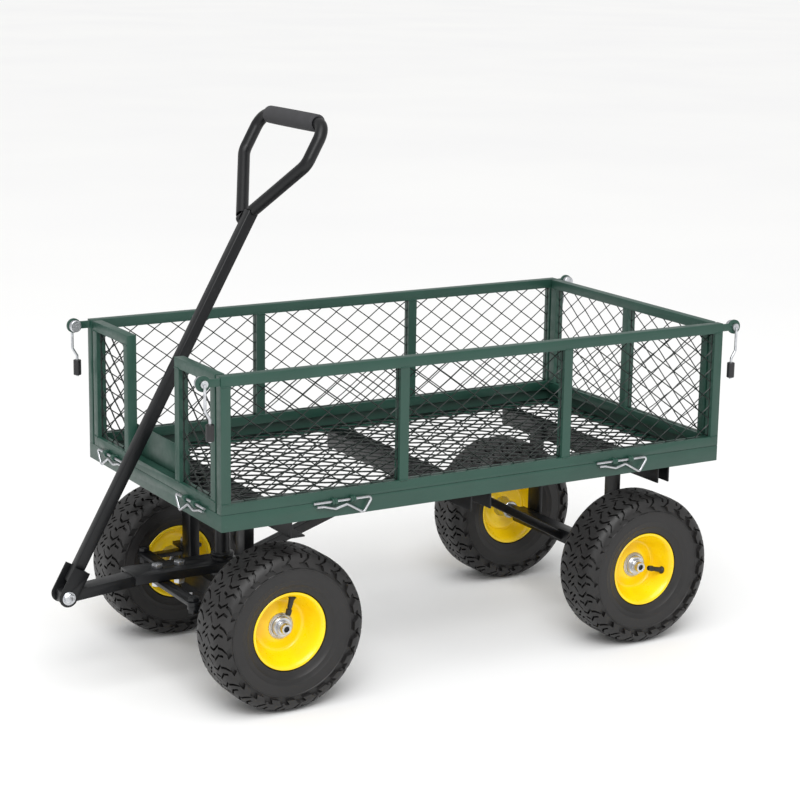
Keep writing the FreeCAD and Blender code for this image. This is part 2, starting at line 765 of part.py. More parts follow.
def latch_eye(side, end):
    """The strap and eye at the top of a side panel's end post."""
    name = "eye_%s_%s" % (side, end)
    s = ENDS[end]
    y = "-bed_width / 2 + 3" if side == "right" else "bed_width / 2 - 7"
    x = "%d * (bed_length / 2 + latch_out)" % s
    first = "bed_length / 2" if s > 0 else "-bed_length / 2 - latch_out"
    strap = box(name + "_strap", first, y, "latch_height - 6", "latch_out", "4", "12")
    ring = rod(name + "_ring", "y", x, y, "latch_height", "latch_eye", "4")
    bore = rod(name + "_bore", "y", x, y, "latch_height", "latch_rod + fit", "4")
    return [strap, ring], bore


def make_side_panel(side):
    """A long panel: two rails, four posts, hinge lugs and latch eyes."""
    sign = SIDES[side]
    y = "-bed_width / 2" if sign < 0 else "bed_width / 2 - tube"
    post = "panel_height - 2 * tube"
    members = [
        ("-bed_length / 2", y, BASE, "bed_length", "tube", "tube"),
        ("-bed_length / 2", y, BASE + " + panel_height - tube", "bed_length", "tube", "tube"),
    ]
    for k in range(4):
        x = "-bed_length / 2 + %d * (bed_length - tube) / 3" % k
        members.append((x, y, BASE + " + tube", "tube", "tube", post))
    outers, cores = tubes("panel_" + side, members)
    lugs, bores = side_lugs("panel_lug", side, OUTER_LUG)
    for end in ENDS:
        eye, bore = latch_eye(side, end)
        lugs += eye
        bores.append(bore)
    frame = join("panel_%s_out" % side, outers + lugs)
    finish("panel_frame_" + side, subtract("panel_%s_cut" % side, frame, cores + bores))
    step = (size("bed_length") - size("tube")) / 3
    start = -size("bed_length") / 2 + size("tube")
    bays = [(start + k * step, start + (k + 1) * step - size("tube")) for k in range(3)]
    panel_mesh("panel_mesh_" + side, bays, "y", sign * (size("bed_width") / 2 - size("tube") / 2))


def make_end_panel(end):
    """An end panel. The front one leaves an open gap for the handle."""
    sign = ENDS[end]
    x = "-bed_length / 2" if sign < 0 else "bed_length / 2 - tube"
    half = "(bed_width / 2 - tube - corner_gap)"
    post = "panel_height - 2 * tube"
    top = BASE + " + panel_height - tube"
    members = [(x, "-" + half, BASE, "tube", "2 * " + half, "tube")]
    posts = ["-" + half, half + " - tube"]
    if end == "front":
        members.append((x, "-" + half, top, "tube", half + " - gap_half", "tube"))
        members.append((x, "gap_half", top, "tube", half + " - gap_half", "tube"))
        posts += ["-gap_half - tube", "gap_half"]
    else:
        members.append((x, "-" + half, top, "tube", "2 * " + half, "tube"))
        posts += ["-tube / 2"]
    for y in posts:
        members.append((x, y, BASE + " + tube", "tube", "tube", post))
    outers, cores = tubes("panel_" + end, members)
    lugs, bores = end_lugs("panel_lug", end, OUTER_LUG)
    frame = join("panel_%s_out" % end, outers + lugs)
    finish("panel_frame_" + end, subtract("panel_%s_cut" % end, frame, cores + bores))
    edge = size("bed_width") / 2 - 2 * size("tube") - size("corner_gap")
    inner = size("gap_half") + size("tube") if end == "front" else size("tube") / 2
    bays = [(-edge, -inner), (inner, edge)]
    panel_mesh("panel_mesh_" + end, bays, "x", sign * (size("bed_length") / 2 - size("tube") / 2))


def make_latch(side, end):
    """A latch: a rod through the eye with a round head inside and a wire lever with a grip outside."""
    s = ENDS[end]
    out = SIDES[side]
    name = "latch_%s_%s" % (end, side)
    x = s * (size("bed_length") / 2 + size("latch_out"))
    z = size("latch_height")
    face = size("bed_width") / 2
    inside = out * (face - 7.5)
    outside = out * (face + 2)
    radius = size("latch_wire")
    rod_shape = Part.makeCylinder(
        size("latch_rod"), 10, FreeCAD.Vector(x, out * (face - 8), z), FreeCAD.Vector(0, out, 0),
    )
    head = Part.makeCylinder(10, 9, FreeCAD.Vector(x, inside, z), FreeCAD.Vector(0, -out, 0))
    head = head.makeFillet(2, [head.Edges[0], head.Edges[2]])
    collar = Part.makeCylinder(6, 4, FreeCAD.Vector(x, out * (face - 2.5), z), FreeCAD.Vector(0, out, 0))
    low = z - size("latch_drop")
    kink = -s * 8
    tip = low - size("latch_grip")
    path = [
        (x, outside, z), (x, outside, low + 20), (x + kink, outside, low + 7),
        (x + kink, outside, tip - 2),
    ]
    wire = bent_wire(path, radius, 4)
    lever = rod_shape.fuse([head, collar, wire])
    finish(name, made(name + "_lever", lever.removeSplitter()))
    grip = Part.makeCylinder(6.5, size("latch_grip"), FreeCAD.Vector(x + kink, outside, tip))
    grip = grip.makeFillet(1.5, [grip.Edges[0], grip.Edges[2]])
    bore = Part.makeCylinder(radius, size("latch_grip") + 8, FreeCAD.Vector(x + kink, outside, tip - 2))
    finish("latch_grip_%s_%s" % (end, side), made(name + "_grip", grip.cut(bore)))


# ---------------------------------------------------------------- steering and handle


def make_drawbar():
    """The steering plate with its hub, and the tube that carries the handle."""
    run = "(pivot_ahead - bar_end)"
    slope = "tan(bar_tilt * 1 deg)"
    x0 = "drawn_at - bar_deep / 2"
    x1 = "drawn_at + " + run
    rise = run + " * " + slope
    back = "bar_deep / 2 * " + slope
    half = "bar_deep / 2"
    points = [
        (x0, "pivot_height - %s - %s" % (half, back)),
        (x1, "pivot_height + %s - %s" % (rise, half)),
        (x1, "pivot_height + %s + %s" % (rise, half)),
        (x0, "pivot_height + %s - %s" % (half, back)),
    ]
    bar = padded("drawbar_tube", points, "bar_wide")
    place(bar, "-pivot_ahead - drawn_at", "bar_wide / 2", "0")
    long = "plate_ahead - plate_behind"
    plate = box(
        "steer_plate", "-plate_ahead", "-plate_half", "plate_low", long, "2 * plate_half",
        "plate_high - plate_low",
    )
    under = box(
        "steer_under", "-plate_ahead - 1", "-plate_half + 3", "plate_low - 1", long + " + 2",
        "2 * plate_half - 6", "plate_high - plate_low - plate_thick + 1",
    )
    shell = subtract("steer_shell", plate, [under])
    hub = rod("steer_hub", "z", "-front_axle", "0", "hub_low", "column_radius + 5", "hub_high - hub_low")
    holes = [rod(
        "steer_bore", "z", "-front_axle", "0", "hub_low - 1", "column_radius + fit",
        "hub_high - hub_low + 2",
    )]
    for side in ("left", "right"):
        x = "-front_axle - rod_" + side
        holes.append(rod(
            "steer_hole_" + side, "z", x, "0", "plate_low", "rod_bolt",
            "plate_high - plate_low + 1",
        ))
    holes.append(rod(
        "bar_hole", "y", "-pivot_ahead", "-bar_wide", "pivot_height", "pivot_radius",
        "2 * bar_wide",
    ))
    finish("drawbar", subtract("drawbar_cut", join("drawbar_out", [bar, shell, hub]), holes))

    bolts = []
    for side in ("left", "right"):
        x = "-front_axle - rod_" + side
        low = "rod_low - 8"
        shank = rod(side + "_tie_shank", "z", x, "0", low, "rod_bolt", "plate_high - (" + low + ")")
        head = hexagon(side + "_tie_head", "z", x, "0", "plate_high", "rod_nut", "6.5")
        spacer = rod(
            side + "_tie_spacer", "z", x, "0", "rod_low + rod_thick + 0.3", "8",
            "plate_high - plate_thick - rod_low - rod_thick - 0.3",
        )
        nut = hexagon(side + "_tie_nut", "z", x, "0", low, "rod_nut", "7.7")
        bolts.append(join(side + "_tie_bolt", [shank, head, spacer, nut]))
    group = doc.addObject("Part::Compound", "tie_bolts_set")
    group.Links = bolts
    finish("tie_bolts", group)

    outside = "bar_wide / 2 + 0.5 + cheek_thick"
    shank = rod(
        "pivot_shank", "y", "-pivot_ahead", "-(%s) - 1" % outside, "pivot_height", "pivot_radius",
        "2 * (%s) + 2" % outside,
    )
    near = rod("pivot_near", "y", "-pivot_ahead", "-(%s) - 7" % outside, "pivot_height", "10", "6.5")
    far = rod("pivot_far", "y", "-pivot_ahead", outside + " + 0.5", "pivot_height", "9", "7")
    finish("pivot_bolt", join("pivot_joined", [shank, near, far]))


HANDLE_AT = ("-pivot_ahead", "0", "pivot_height")


def handle_piece(label, obj):
    """Puts a handle piece on the pivot, leaning back."""
    return finish(label, obj, HANDLE_AT, (0, 1, 0), "lean")


def make_handle():
    """Bracket, square pole, round loop and foam grip, drawn upright about the pivot."""
    inner = "bar_wide / 2 + 0.5"
    cheeks = []
    for side, sign in SIDES.items():
        y = inner if sign > 0 else "-(%s) - cheek_thick" % inner
        cheeks.append(box("cheek_" + side, "-eye_radius", y, "0", "2 * eye_radius", "cheek_thick", "cheek_top"))
        cheeks.append(rod("eye_" + side, "y", "0", y, "0", "eye_radius", "cheek_thick"))
    web = box(
        "cheek_web", "pole_side / 2", "-(%s)" % inner, "pole_start + 2", "3", "2 * (%s)" % inner,
        "cheek_top - pole_start - 2",
    )
    hole = rod("cheek_hole", "y", "0", "-bar_wide", "0", "pivot_radius + fit", "2 * bar_wide")
    handle_piece("handle_bracket", subtract("bracket_cut", join("bracket_out", cheeks + [web]), [hole]))
    outer, core = hollow(
        "pole_tube", "-pole_side / 2", "-pole_side / 2", "pole_start", "pole_side", "pole_side",
        "pole_top - pole_start",
    )
    cap = box(
        "pole_cap", "-pole_side / 2", "-pole_side / 2", "pole_top", "pole_side", "pole_side", "2.5",
    )
    handle_piece("handle_pole", subtract("pole_cut", join("pole_out", [outer, cap]), [core]))

    half = size("loop_half")
    knee = size("loop_knee")
    top = size("loop_top")
    base = size("pole_top") + 2.5
    aside = size("loop_aside")
    bore = size("loop_radius") - size("tube_wall")
    foot = (0, -2, base)
    free_end = (0, 24, base - 10)
    below = (0, foot[1] + 20 * (half - aside) / (knee - base), base - 20)
    path = [
        free_end, (0, half + aside, knee), (0, half + aside, top), (0, aside - half, top),
        (0, aside - half, knee), below,
    ]
    tube = bent_wire(path, size("loop_radius"), 26, bore)
    trim = Part.makeBox(200, 22, 200, FreeCAD.Vector(-100, -11, base - 200))
    tube = tube.cut(trim)
    lug_plate = Part.makeBox(6, 16, 18, FreeCAD.Vector(-3, size("pole_side") / 2, base - 18))
    inside = bent_wire(path[:3], bore, 26)
    handle_piece("handle_loop", made("loop_tube", tube.fuse(lug_plate.cut(inside)).removeSplitter()))
    reach = size("grip_half")
    start = aside - reach
    sleeve = Part.makeCylinder(
        size("grip_radius"), 2 * reach, FreeCAD.Vector(0, start, top), FreeCAD.Vector(0, 1, 0),
    )
    sleeve = sleeve.makeFillet(3, [sleeve.Edges[0], sleeve.Edges[2]])
    core = Part.makeCylinder(
        size("loop_radius"), 2 * reach + 2, FreeCAD.Vector(0, start - 1, top),
        FreeCAD.Vector(0, 1, 0),
    )
    handle_piece("handle_grip", made("grip_sleeve", sleeve.cut(core)))


def make_knuckle(side):
    """A steering knuckle: sleeve, stub axle, arm with its bolt, and the washer outside the hub."""
    sign = SIDES[side]
    y = "%d * king_side" % sign
    x = "-front_axle"
    low = "fork_low + fork_plate + 0.5"
    high = "fork_high - fork_plate - 0.5"
    sleeve = rod(side + "_sleeve", "z", x, y, low, "sleeve_radius", "(" + high + ") - (" + low + ")")
    ahead = "rod_" + side
    arm = box(
        side + "_arm", "%s - %s" % (x, ahead), y + " - arm_wide / 2", "arm_low", ahead, "arm_wide",
        "arm_thick",
    )
    tip = rod(side + "_arm_tip", "z", "%s - %s" % (x, ahead), y, "arm_low", "arm_wide / 2", "arm_thick")
    bolt = rod(
        side + "_arm_bolt", "z", "%s - %s" % (x, ahead), y, "arm_low", "rod_bolt",
        "rod_low + rod_thick + 8 - arm_low",
    )
    nut = hexagon(
        side + "_arm_nut", "z", "%s - %s" % (x, ahead), y, "rod_low + rod_thick + 0.5", "rod_nut",
        "6.5",
    )
    head = hexagon(side + "_arm_head", "z", "%s - %s" % (x, ahead), y, "arm_low - 6", "rod_nut", "6")
    pieces = [sleeve, arm, tip, bolt, nut, head] + stub(side + "_front", sign, x, "king_side + 8")
    bore = rod(side + "_sleeve_bore", "z", x, y, "fork_low", "king_radius + fit", "fork_high - fork_low")
    body = subtract(side + "_knuckle_cut", join(side + "_knuckle_out", pieces), [bore])
    ring = retainer(side + "_front", sign, x)
    group = doc.addObject("Part::Compound", side + "_knuckle_set")
    group.Links = [body, ring]
    finish("knuckle_" + side, group)


def make_tie_rod(side):
    """A flat tie rod between the steering plate and a knuckle arm."""
    sign = SIDES[side]
    x = "-front_axle - rod_" + side
    first = "0" if sign > 0 else "-king_side"
    bar = box(
        side + "_rod_bar", x + " - rod_wide / 2", first, "rod_low", "rod_wide", "king_side",
        "rod_thick",
    )
    inner_end = rod(side + "_rod_inner", "z", x, "0", "rod_low", "rod_wide / 2", "rod_thick")
    outer_end = rod(
        side + "_rod_outer", "z", x, "%d * king_side" % sign, "rod_low", "rod_wide / 2",
        "rod_thick",
    )
    hole = rod(side + "_rod_hole", "z", x, "0", "rod_low - 1", "rod_bolt + fit", "rod_thick + 2")
    slack = rod(
        side + "_rod_slack", "z", x, "%d * king_side" % sign, "rod_low - 1", "rod_bolt + 0.3",
        "rod_thick + 2",
    )
    finish(
        "tie_rod_" + side,
        subtract(side + "_rod_cut", join(side + "_rod_out", [bar, inner_end, outer_end]), [hole, slack]),
    )


# ---------------------------------------------------------------- wheels

VALVE_ANGLES = {"front_right": 20, "front_left": 200, "rear_right": 105, "rear_left": 60}


def across(points):
    """The same corners on the other side of the wheel plane, in the other order."""
    return [("2 * wheel_plane - (%s)" % a, r) for a, r in reversed(points)]


def make_wheel(end, side):
    """Tyre, rim, hub and valve. Outlines are drawn beside the wheel plane, then moved back."""
    name = "%s_%s" % (end, side)
    x = "-front_axle" if end == "front" else "rear_axle_at"
    sign = SIDES[side]
    at = (x, "%d * (track_half - wheel_plane)" % sign, "wheel_radius")
    turn = "0" if sign > 0 else "180"
    half = "wheel_plane + tyre_half"
    outer = [
        ("wheel_plane + rim_half - rim_sheet - 0.5", "seat_radius + 0.3"),
        ("wheel_plane + rim_half - rim_sheet - 0.5", "lip_radius + 1"),
        (half + " - 6", "lip_radius + 5"),
        (half + " - 1.5", "lip_radius + 14"),
        (half, "lip_radius + 28"),
        (half + " - 1", "wheel_radius - 25"),
        (half + " - 6", "wheel_radius - 10"),
        (half + " - 12", "wheel_radius - 3.5"),
        (half + " - 18", "wheel_radius"),
    ]
    inner = [
        (half + " - 20", "wheel_radius - 10"),
        (half + " - 12", "wheel_radius - 18"),
        (half + " - 8", "wheel_radius - 28"),
        (half + " - 7", "lip_radius + 26"),
        (half + " - 9", "lip_radius + 14"),
        ("wheel_plane + rim_half - 11", "lip_radius + 2"),
        ("wheel_plane + rim_half - 11", "seat_radius + 0.3"),
    ]
    around = outer + across(outer) + across(inner) + inner
    tyre = revolved("tyre_" + name + "_body", around)
    finish("tyre_" + name, tyre, at, (0, 0, 1), turn)

    edge = "wheel_plane + rim_half"
    lip = [
        (
            "wheel_plane + 15", "well_radius",
        ), ("wheel_plane + 21", "seat_radius"), (edge + " - rim_sheet", "seat_radius"),
        (edge + " - rim_sheet", "lip_radius"), (edge, "lip_radius"), (edge, "seat_radius - rim_sheet"),
        ("wheel_plane + 21", "seat_radius - rim_sheet"), ("wheel_plane + 15", "well_radius - rim_sheet"),
    ]
    disc = [
        (
            "wheel_plane - 5.5", "well_radius - rim_sheet",
        ), ("wheel_plane + 1", "hub_radius + 6"), ("wheel_plane + 2", "hub_radius"),
        (
            "wheel_plane - 0.6", "hub_radius",
        ), ("wheel_plane - 1.6", "hub_radius + 6"), ("wheel_plane - 8", "well_radius - rim_sheet"),
    ]
    rim = revolved("rim_" + name + "_body", lip + disc + across(lip))
    finish("rim_" + name, rim, at, (0, 0, 1), turn)

    hub = [
        (
            "wheel_plane - hub_in", "axle_radius + fit",
        ), ("wheel_plane + hub_out", "axle_radius + fit"), ("wheel_plane + hub_out", "hub_radius - 2"),
        (
            "wheel_plane + hub_out - 2", "hub_radius",
        ), ("wheel_plane - hub_in + 2", "hub_radius"), ("wheel_plane - hub_in", "hub_radius - 2"),
    ]
    hub_body = revolved("hub_" + name + "_body", hub)
    finish("hub_" + name, hub_body, at, (0, 0, 1), turn)

    y = "%d * 13" % sign
    base = rod("valve_%s_base" % name, "z", "0", y, "well_radius - rim_sheet - 14", "5", "14")
    stem = rod("valve_%s_stem" % name, "z", "0", y, "well_radius - rim_sheet - 27", "3.8", "14")
    valve = join("valve_%s_joined" % name, [base, stem])
    bound = rod(
        "valve_%s_bound" % name, "y", "0", "-tyre_half", "0", "well_radius - rim_sheet",
        "2 * tyre_half",
    )
    common = doc.addObject("Part::Common", "valve_%s_trim" % name)
    common.Base = valve
    common.Tool = bound
    finish(
        "valve_" + name, common, (x, "%d * track_half" % sign, "wheel_radius"), (0, 1, 0),
        str(VALVE_ANGLES[name]),
    )


make_tray()
make_cross_members()
make_front_axle()
make_rear_axle()
make_braces()
make_pins()
for side in SIDES:
    make_side_panel(side)
for end in ENDS:
    make_end_panel(end)
    for side in SIDES:
        make_latch(side, end)
make_drawbar()
make_handle()
for side in SIDES:
    make_knuckle(side)
    make_tie_rod(side)
    for end in ENDS:
        make_wheel(end, side)
doc.recompute()

box_now = FreeCAD.BoundBox()
for obj in NODES:
    box_now.add(obj.Shape.BoundBox)
sheet.set("B1", "%.4f" % (-(box_now.XMin + box_now.XMax) / 2))
doc.recompute()

problems = []
for obj in doc.Objects:
    if "Invalid" in obj.State or "Error" in obj.State:
        problems.append(obj.Name)
for obj in NODES:
    if obj.Shape.isNull() or not obj.Shape.isValid():
        problems.append(obj.Label)
if problems:
    raise RuntimeError("not sound: " + ", ".join(problems))

sheet.clear("E1")
os.makedirs("parts", exist_ok=True)
for obj in NODES:
    obj.Shape.exportStep(os.path.join("parts", obj.Label + ".step"))
    bounds = obj.Shape.BoundBox
    print("%-24s solids %2d  volume %9.0f" % (obj.Label, len(obj.Shape.Solids), obj.Shape.Volume))
    print("    x %7.1f %7.1f  y %7.1f %7.1f  z %6.1f %6.1f" % (bounds.XMin, bounds.XMax, bounds.YMin, bounds.YMax, bounds.ZMin, bounds.ZMax))
print("nodes", len(NODES), "shift", size("x_shift"))
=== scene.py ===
import math

import bmesh
import bpy
from mathutils import Euler, Matrix, Vector


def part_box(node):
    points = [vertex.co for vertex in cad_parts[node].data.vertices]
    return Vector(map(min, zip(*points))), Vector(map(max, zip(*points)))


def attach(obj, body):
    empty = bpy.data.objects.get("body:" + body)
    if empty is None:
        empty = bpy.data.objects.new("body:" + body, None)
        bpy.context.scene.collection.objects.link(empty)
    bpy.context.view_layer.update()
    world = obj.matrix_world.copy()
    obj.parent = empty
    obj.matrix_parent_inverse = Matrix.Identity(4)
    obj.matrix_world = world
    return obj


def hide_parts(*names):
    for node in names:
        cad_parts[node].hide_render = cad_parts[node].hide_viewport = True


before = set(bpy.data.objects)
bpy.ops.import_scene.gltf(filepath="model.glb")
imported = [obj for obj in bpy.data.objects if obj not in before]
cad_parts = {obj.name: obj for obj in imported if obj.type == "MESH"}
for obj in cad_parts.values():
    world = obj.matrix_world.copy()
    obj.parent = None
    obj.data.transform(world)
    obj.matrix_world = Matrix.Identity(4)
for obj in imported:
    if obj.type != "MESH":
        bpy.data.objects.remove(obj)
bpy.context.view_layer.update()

bl_info = {
    "name": "Garden Cart",
    "version": (1, 0, 0),
    "blender": (4, 5, 0),
    "location": "View3D > Sidebar > Cart",
    "description": "Gives a mesh-sided garden cart its finished looks around a fixed frame",
    "category": "Add Mesh",
}

MM = 0.001
SIDES = {"right": -1, "left": 1}
ENDS = {"front": -1, "rear": 1}
TUBE = 16 * MM  # outside size of the square tube of the sides
GAP_POST = 98 * MM  # middle of each post beside the front gap, from the centre line
BAYS = 3  # bays of mesh in a long side
SIDE_RELIEF = 0.5 * MM  # how far the strands of a side rise and fall about the sheet
DECK_RELIEF = 0.8 * MM
TREAD_START = 107.5 * MM  # the tread begins outside this radius
TREAD_EDGE = 42.1 * MM  # and within this distance of the middle of the tyre
TYRE_LIMIT = 129.7 * MM  # the tread blocks are held to this radius, so that they stay off the floor
QUARTER_TURN = Matrix.Rotation(math.pi / 2, 4, "Z")


# ------------------------------------------------------------------ small tools

def linear(hex_colour):
    """An sRGB hex colour as the linear RGBA that Blender stores."""
    parts = [int(hex_colour[i:i + 2], 16) / 255 for i in (1, 3, 5)]
    return (*[c / 12.92 if c <= 0.04045 else ((c + 0.055) / 1.055) ** 2.4 for c in parts], 1.0)


def mirrored(outline):
    """The same outline on the other side of the wheel's middle, walked the other way."""
    return [(-along, radius) for along, radius in reversed(outline)]


def per(size_mm):
    """The texture scale whose features are about this many millimetres across."""
    return 1000 / size_mm


def settings():
    """The sizes and colours that the panel shows."""
    return bpy.context.scene.garden_cart


def activate(obj):
    """Leaves one object selected and active."""
    bpy.ops.object.select_all(action="DESELECT")
    obj.select_set(True)
    bpy.context.view_layer.objects.active = obj


def edit(obj):
    """Opens an object in edit mode with all of it selected."""
    activate(obj)
    bpy.ops.object.mode_set(mode="EDIT")
    bpy.ops.mesh.select_mode(type="VERT")
    bpy.ops.mesh.select_all(action="SELECT")


def leave():
    """Closes edit mode."""
    bpy.ops.object.mode_set(mode="OBJECT")


def place_applied(obj):
    """Puts an object's place, turn and size into its mesh."""
    activate(obj)
    bpy.ops.object.transform_apply(location=True, rotation=True, scale=True)


def use_modifier(obj, kind, **values):
    """Adds a modifier and applies it."""
    activate(obj)
    modifier = obj.modifiers.new(kind.title(), kind)
    for name, value in values.items():
        setattr(modifier, name, value)
    bpy.ops.object.modifier_apply(modifier=modifier.name)


def draw(name, points):
    """A thin line of vertices, drawn by extruding one vertex from point to point."""
    bpy.ops.object.select_all(action="DESELECT")
    bpy.ops.mesh.primitive_plane_add(size=MM, location=points[0])
    obj = bpy.context.object
    obj.name = name
    place_applied(obj)
    edit(obj)
    bpy.ops.mesh.merge(type="CENTER")
    for before, after in zip(points, points[1:]):
        step = Vector(after) - Vector(before)
        bpy.ops.mesh.extrude_region_move(TRANSFORM_OT_translate={"value": step})
    leave()
    return obj


def lathe(name, outline, steps, centre):
    """A piece turned about Y from (along, radius) or (along, radius, turn) points, in millimetres."""
    points = []
    for point in outline:
        along, radius = point[0] * MM, point[1] * MM
        turn = point[2] if len(point) > 2 else 0
        points.append(centre + Vector((radius * math.sin(turn), along, radius * math.cos(turn))))
    obj = draw(name, points)
    edit(obj)
    bpy.ops.mesh.spin(steps=steps, angle=math.tau, center=centre, axis=(0, 1, 0))
    bpy.ops.mesh.select_all(action="SELECT")
    bpy.ops.mesh.remove_doubles(threshold=0.00002)
    bpy.ops.mesh.normals_make_consistent(inside=False)
    leave()
    return obj


def weld_line(name, points, radius, ripple):
    """A weld bead through points: a round wire, pinched by the ripple at every second point."""
    obj = draw(name, points)
    activate(obj)
    bpy.ops.object.convert(target="CURVE")
    obj = bpy.context.object
    obj.data.bevel_depth = radius
    obj.data.bevel_resolution = 2
    obj.data.use_fill_caps = True
    for i, point in enumerate(obj.data.splines[0].points):
        point.radius = 1 - ripple * (i % 2)
    bpy.ops.object.convert(target="MESH")
    return bpy.context.object


def join(name, objects):
    """Several new pieces as one."""
    activate(objects[0])
    for obj in objects:
        obj.select_set(True)
    if len(objects) > 1:
        bpy.ops.object.join()
    obj = bpy.context.object
    obj.name = name
    return obj


def turned_copy(obj, name, matrix):
    """A copy with its own mesh, moved as a whole."""
    twin = bpy.data.objects.new(name, obj.data.copy())
    bpy.context.scene.collection.objects.link(twin)
    twin.matrix_world = matrix
    place_applied(twin)
    return twin


def finish(obj, body, material, smooth, stands_for=()):
    """Shading, material, body and replaced nodes of a finished piece."""
    activate(obj)
    bpy.ops.object.shade_smooth_by_angle(angle=math.radians(smooth))
    obj.data.materials.clear()
    obj.data.materials.append(material)
    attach(obj, body)
    if stands_for:
        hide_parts(*stands_for)


def centre_of(node):
    """The middle of a node's box."""
    low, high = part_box(node)
    return (low + high) / 2


# ------------------------------------------------------------------ materials

def add_node(tree, kind, inputs=None, **values):
    """One shader node with its settings, values and links."""
    made = tree.nodes.new(kind)
    for name, value in values.items():
        setattr(made, name, value)
    for name, value in (inputs or {}).items():
        if isinstance(value, bpy.types.NodeSocket):
            tree.links.new(value, made.inputs[name])
        else:
            made.inputs[name].default_value = value
    return made


def new_material(name):
    """A bare material: its tree, shader and object coordinates."""
    material = bpy.data.materials.new(name)
    material.use_nodes = True
    tree = material.node_tree
    shader = tree.nodes["Principled BSDF"]
    place = add_node(tree, "ShaderNodeTexCoord").outputs["Object"]
    return material, tree, shader, place


def mixed_colour(tree, factor, low, high, dark, light):
    """Two colours mixed by a texture between two of its values."""
    ranged = add_node(tree, "ShaderNodeMapRange", {0: factor, 1: low, 2: high, 3: 0.0, 4: 1.0})
    mix = add_node(tree, "ShaderNodeMix", {0: ranged.outputs[0], 6: dark, 7: light}, data_type="RGBA")
    return mix.outputs[2]


def powder_coat(name, colour, roughness, dust, gleam):
    """Polyester powder coat on steel: a satin film with a fine orange peel and a little dust."""
    material, tree, shader, place = new_material(name)
    cloud = add_node(tree, "ShaderNodeTexNoise", {"Vector": place, "Scale": per(90), "Detail": 4.0})
    speck = add_node(tree, "ShaderNodeTexNoise", {"Vector": place, "Scale": per(2.2), "Detail": 2.0})
    scuff = add_node(tree, "ShaderNodeTexNoise", {
        "Vector": place, "Scale": per(14), "Detail": 6.0, "Roughness": 0.7})
    lighter = tuple(c * 1.18 for c in colour[:3]) + (1.0,)
    body = mixed_colour(tree, cloud.outputs[0], 0.35, 0.7, colour, lighter)
    worn = mixed_colour(tree, scuff.outputs[0], 0.66, 0.8, body, dust)
    tree.links.new(worn, shader.inputs["Base Color"])
    gloss = add_node(tree, "ShaderNodeMapRange", {
        0: scuff.outputs[0], 1: 0.3, 2: 0.75, 3: roughness - 0.06, 4: roughness + 0.12})
    tree.links.new(gloss.outputs[0], shader.inputs["Roughness"])
    peel = add_node(tree, "ShaderNodeBump", {
        "Height": speck.outputs[0], "Strength": 0.25, "Distance": 0.00025})
    tree.links.new(peel.outputs[0], shader.inputs["Normal"])
    shader.inputs["IOR"].default_value = 1.5
    shader.inputs["Specular IOR Level"].default_value = gleam
    return material


def enamel(name, colour):
    """Baked gloss enamel on pressed steel: smooth and bright, with warm clouds and faint grime."""
    material, tree, shader, place = new_material(name)
    cloud = add_node(tree, "ShaderNodeTexNoise", {"Vector": place, "Scale": per(45), "Detail": 3.0})
    grime = add_node(tree, "ShaderNodeTexNoise", {
        "Vector": place, "Scale": per(9), "Detail": 6.0, "Roughness": 0.7})
    warm = tuple(a * b for a, b in zip(colour[:3], (0.9, 0.82, 0.7))) + (1.0,)
    body = mixed_colour(tree, cloud.outputs[0], 0.4, 0.75, colour, warm)
    dirt = mixed_colour(tree, grime.outputs[0], 0.68, 0.85, body, linear("#8a6a2a"))
    tree.links.new(dirt, shader.inputs["Base Color"])
    gloss = add_node(tree, "ShaderNodeMapRange", {
        0: grime.outputs[0], 1: 0.3, 2: 0.8, 3: 0.24, 4: 0.42})
    tree.links.new(gloss.outputs[0], shader.inputs["Roughness"])
    shader.inputs["Coat Weight"].default_value = 0.25
    shader.inputs["Coat Roughness"].default_value = 0.12
    return material


def zinc(name, colour, roughness):
    """Bright zinc plate: a bluish metal with a cloudy passivate and fine drawn scratches."""
    material, tree, shader, place = new_material(name)
    cloud = add_node(tree, "ShaderNodeTexNoise", {"Vector": place, "Scale": per(7), "Detail": 4.0})
    drawn = add_node(tree, "ShaderNodeTexNoise", {"Vector": place, "Scale": per(1.5), "Detail": 3.0})
    dull = tuple(c * 0.72 for c in colour[:3]) + (1.0,)
    plate = mixed_colour(tree, cloud.outputs[0], 0.35, 0.7, colour, dull)
    tree.links.new(plate, shader.inputs["Base Color"])
    gloss = add_node(tree, "ShaderNodeMapRange", {
        0: cloud.outputs[0], 1: 0.3, 2: 0.7, 3: roughness - 0.08, 4: roughness + 0.15})
    tree.links.new(gloss.outputs[0], shader.inputs["Roughness"])
    mark = add_node(tree, "ShaderNodeBump", {
        "Height": drawn.outputs[0], "Strength": 0.15, "Distance": 0.0002})
    tree.links.new(mark.outputs[0], shader.inputs["Normal"])
    shader.inputs["Metallic"].default_value = 1.0
    return material


def rubber(name, colour, bloom, grain_mm, roughness):
    """Vulcanised rubber, dipped vinyl or foam: dull, with a grey bloom and a fine moulded grain."""
    material, tree, shader, place = new_material(name)
    cloud = add_node(tree, "ShaderNodeTexNoise", {
        "Vector": place, "Scale": per(38), "Detail": 5.0, "Roughness": 0.65})
    grain = add_node(tree, "ShaderNodeTexNoise", {
        "Vector": place, "Scale": per(grain_mm), "Detail": 2.0})
    skin = mixed_colour(tree, cloud.outputs[0], 0.38, 0.75, colour, bloom)
    tree.links.new(skin, shader.inputs["Base Color"])
    gloss = add_node(tree, "ShaderNodeMapRange", {
        0: cloud.outputs[0], 1: 0.3, 2: 0.7, 3: roughness - 0.08, 4: roughness + 0.08})
    tree.links.new(gloss.outputs[0], shader.inputs["Roughness"])
    pores = add_node(tree, "ShaderNodeBump", {
        "Height": grain.outputs[0], "Strength": 0.35, "Distance": 0.0004})
    tree.links.new(pores.outputs[0], shader.inputs["Normal"])
    shader.inputs["IOR"].default_value = 1.52
    return material


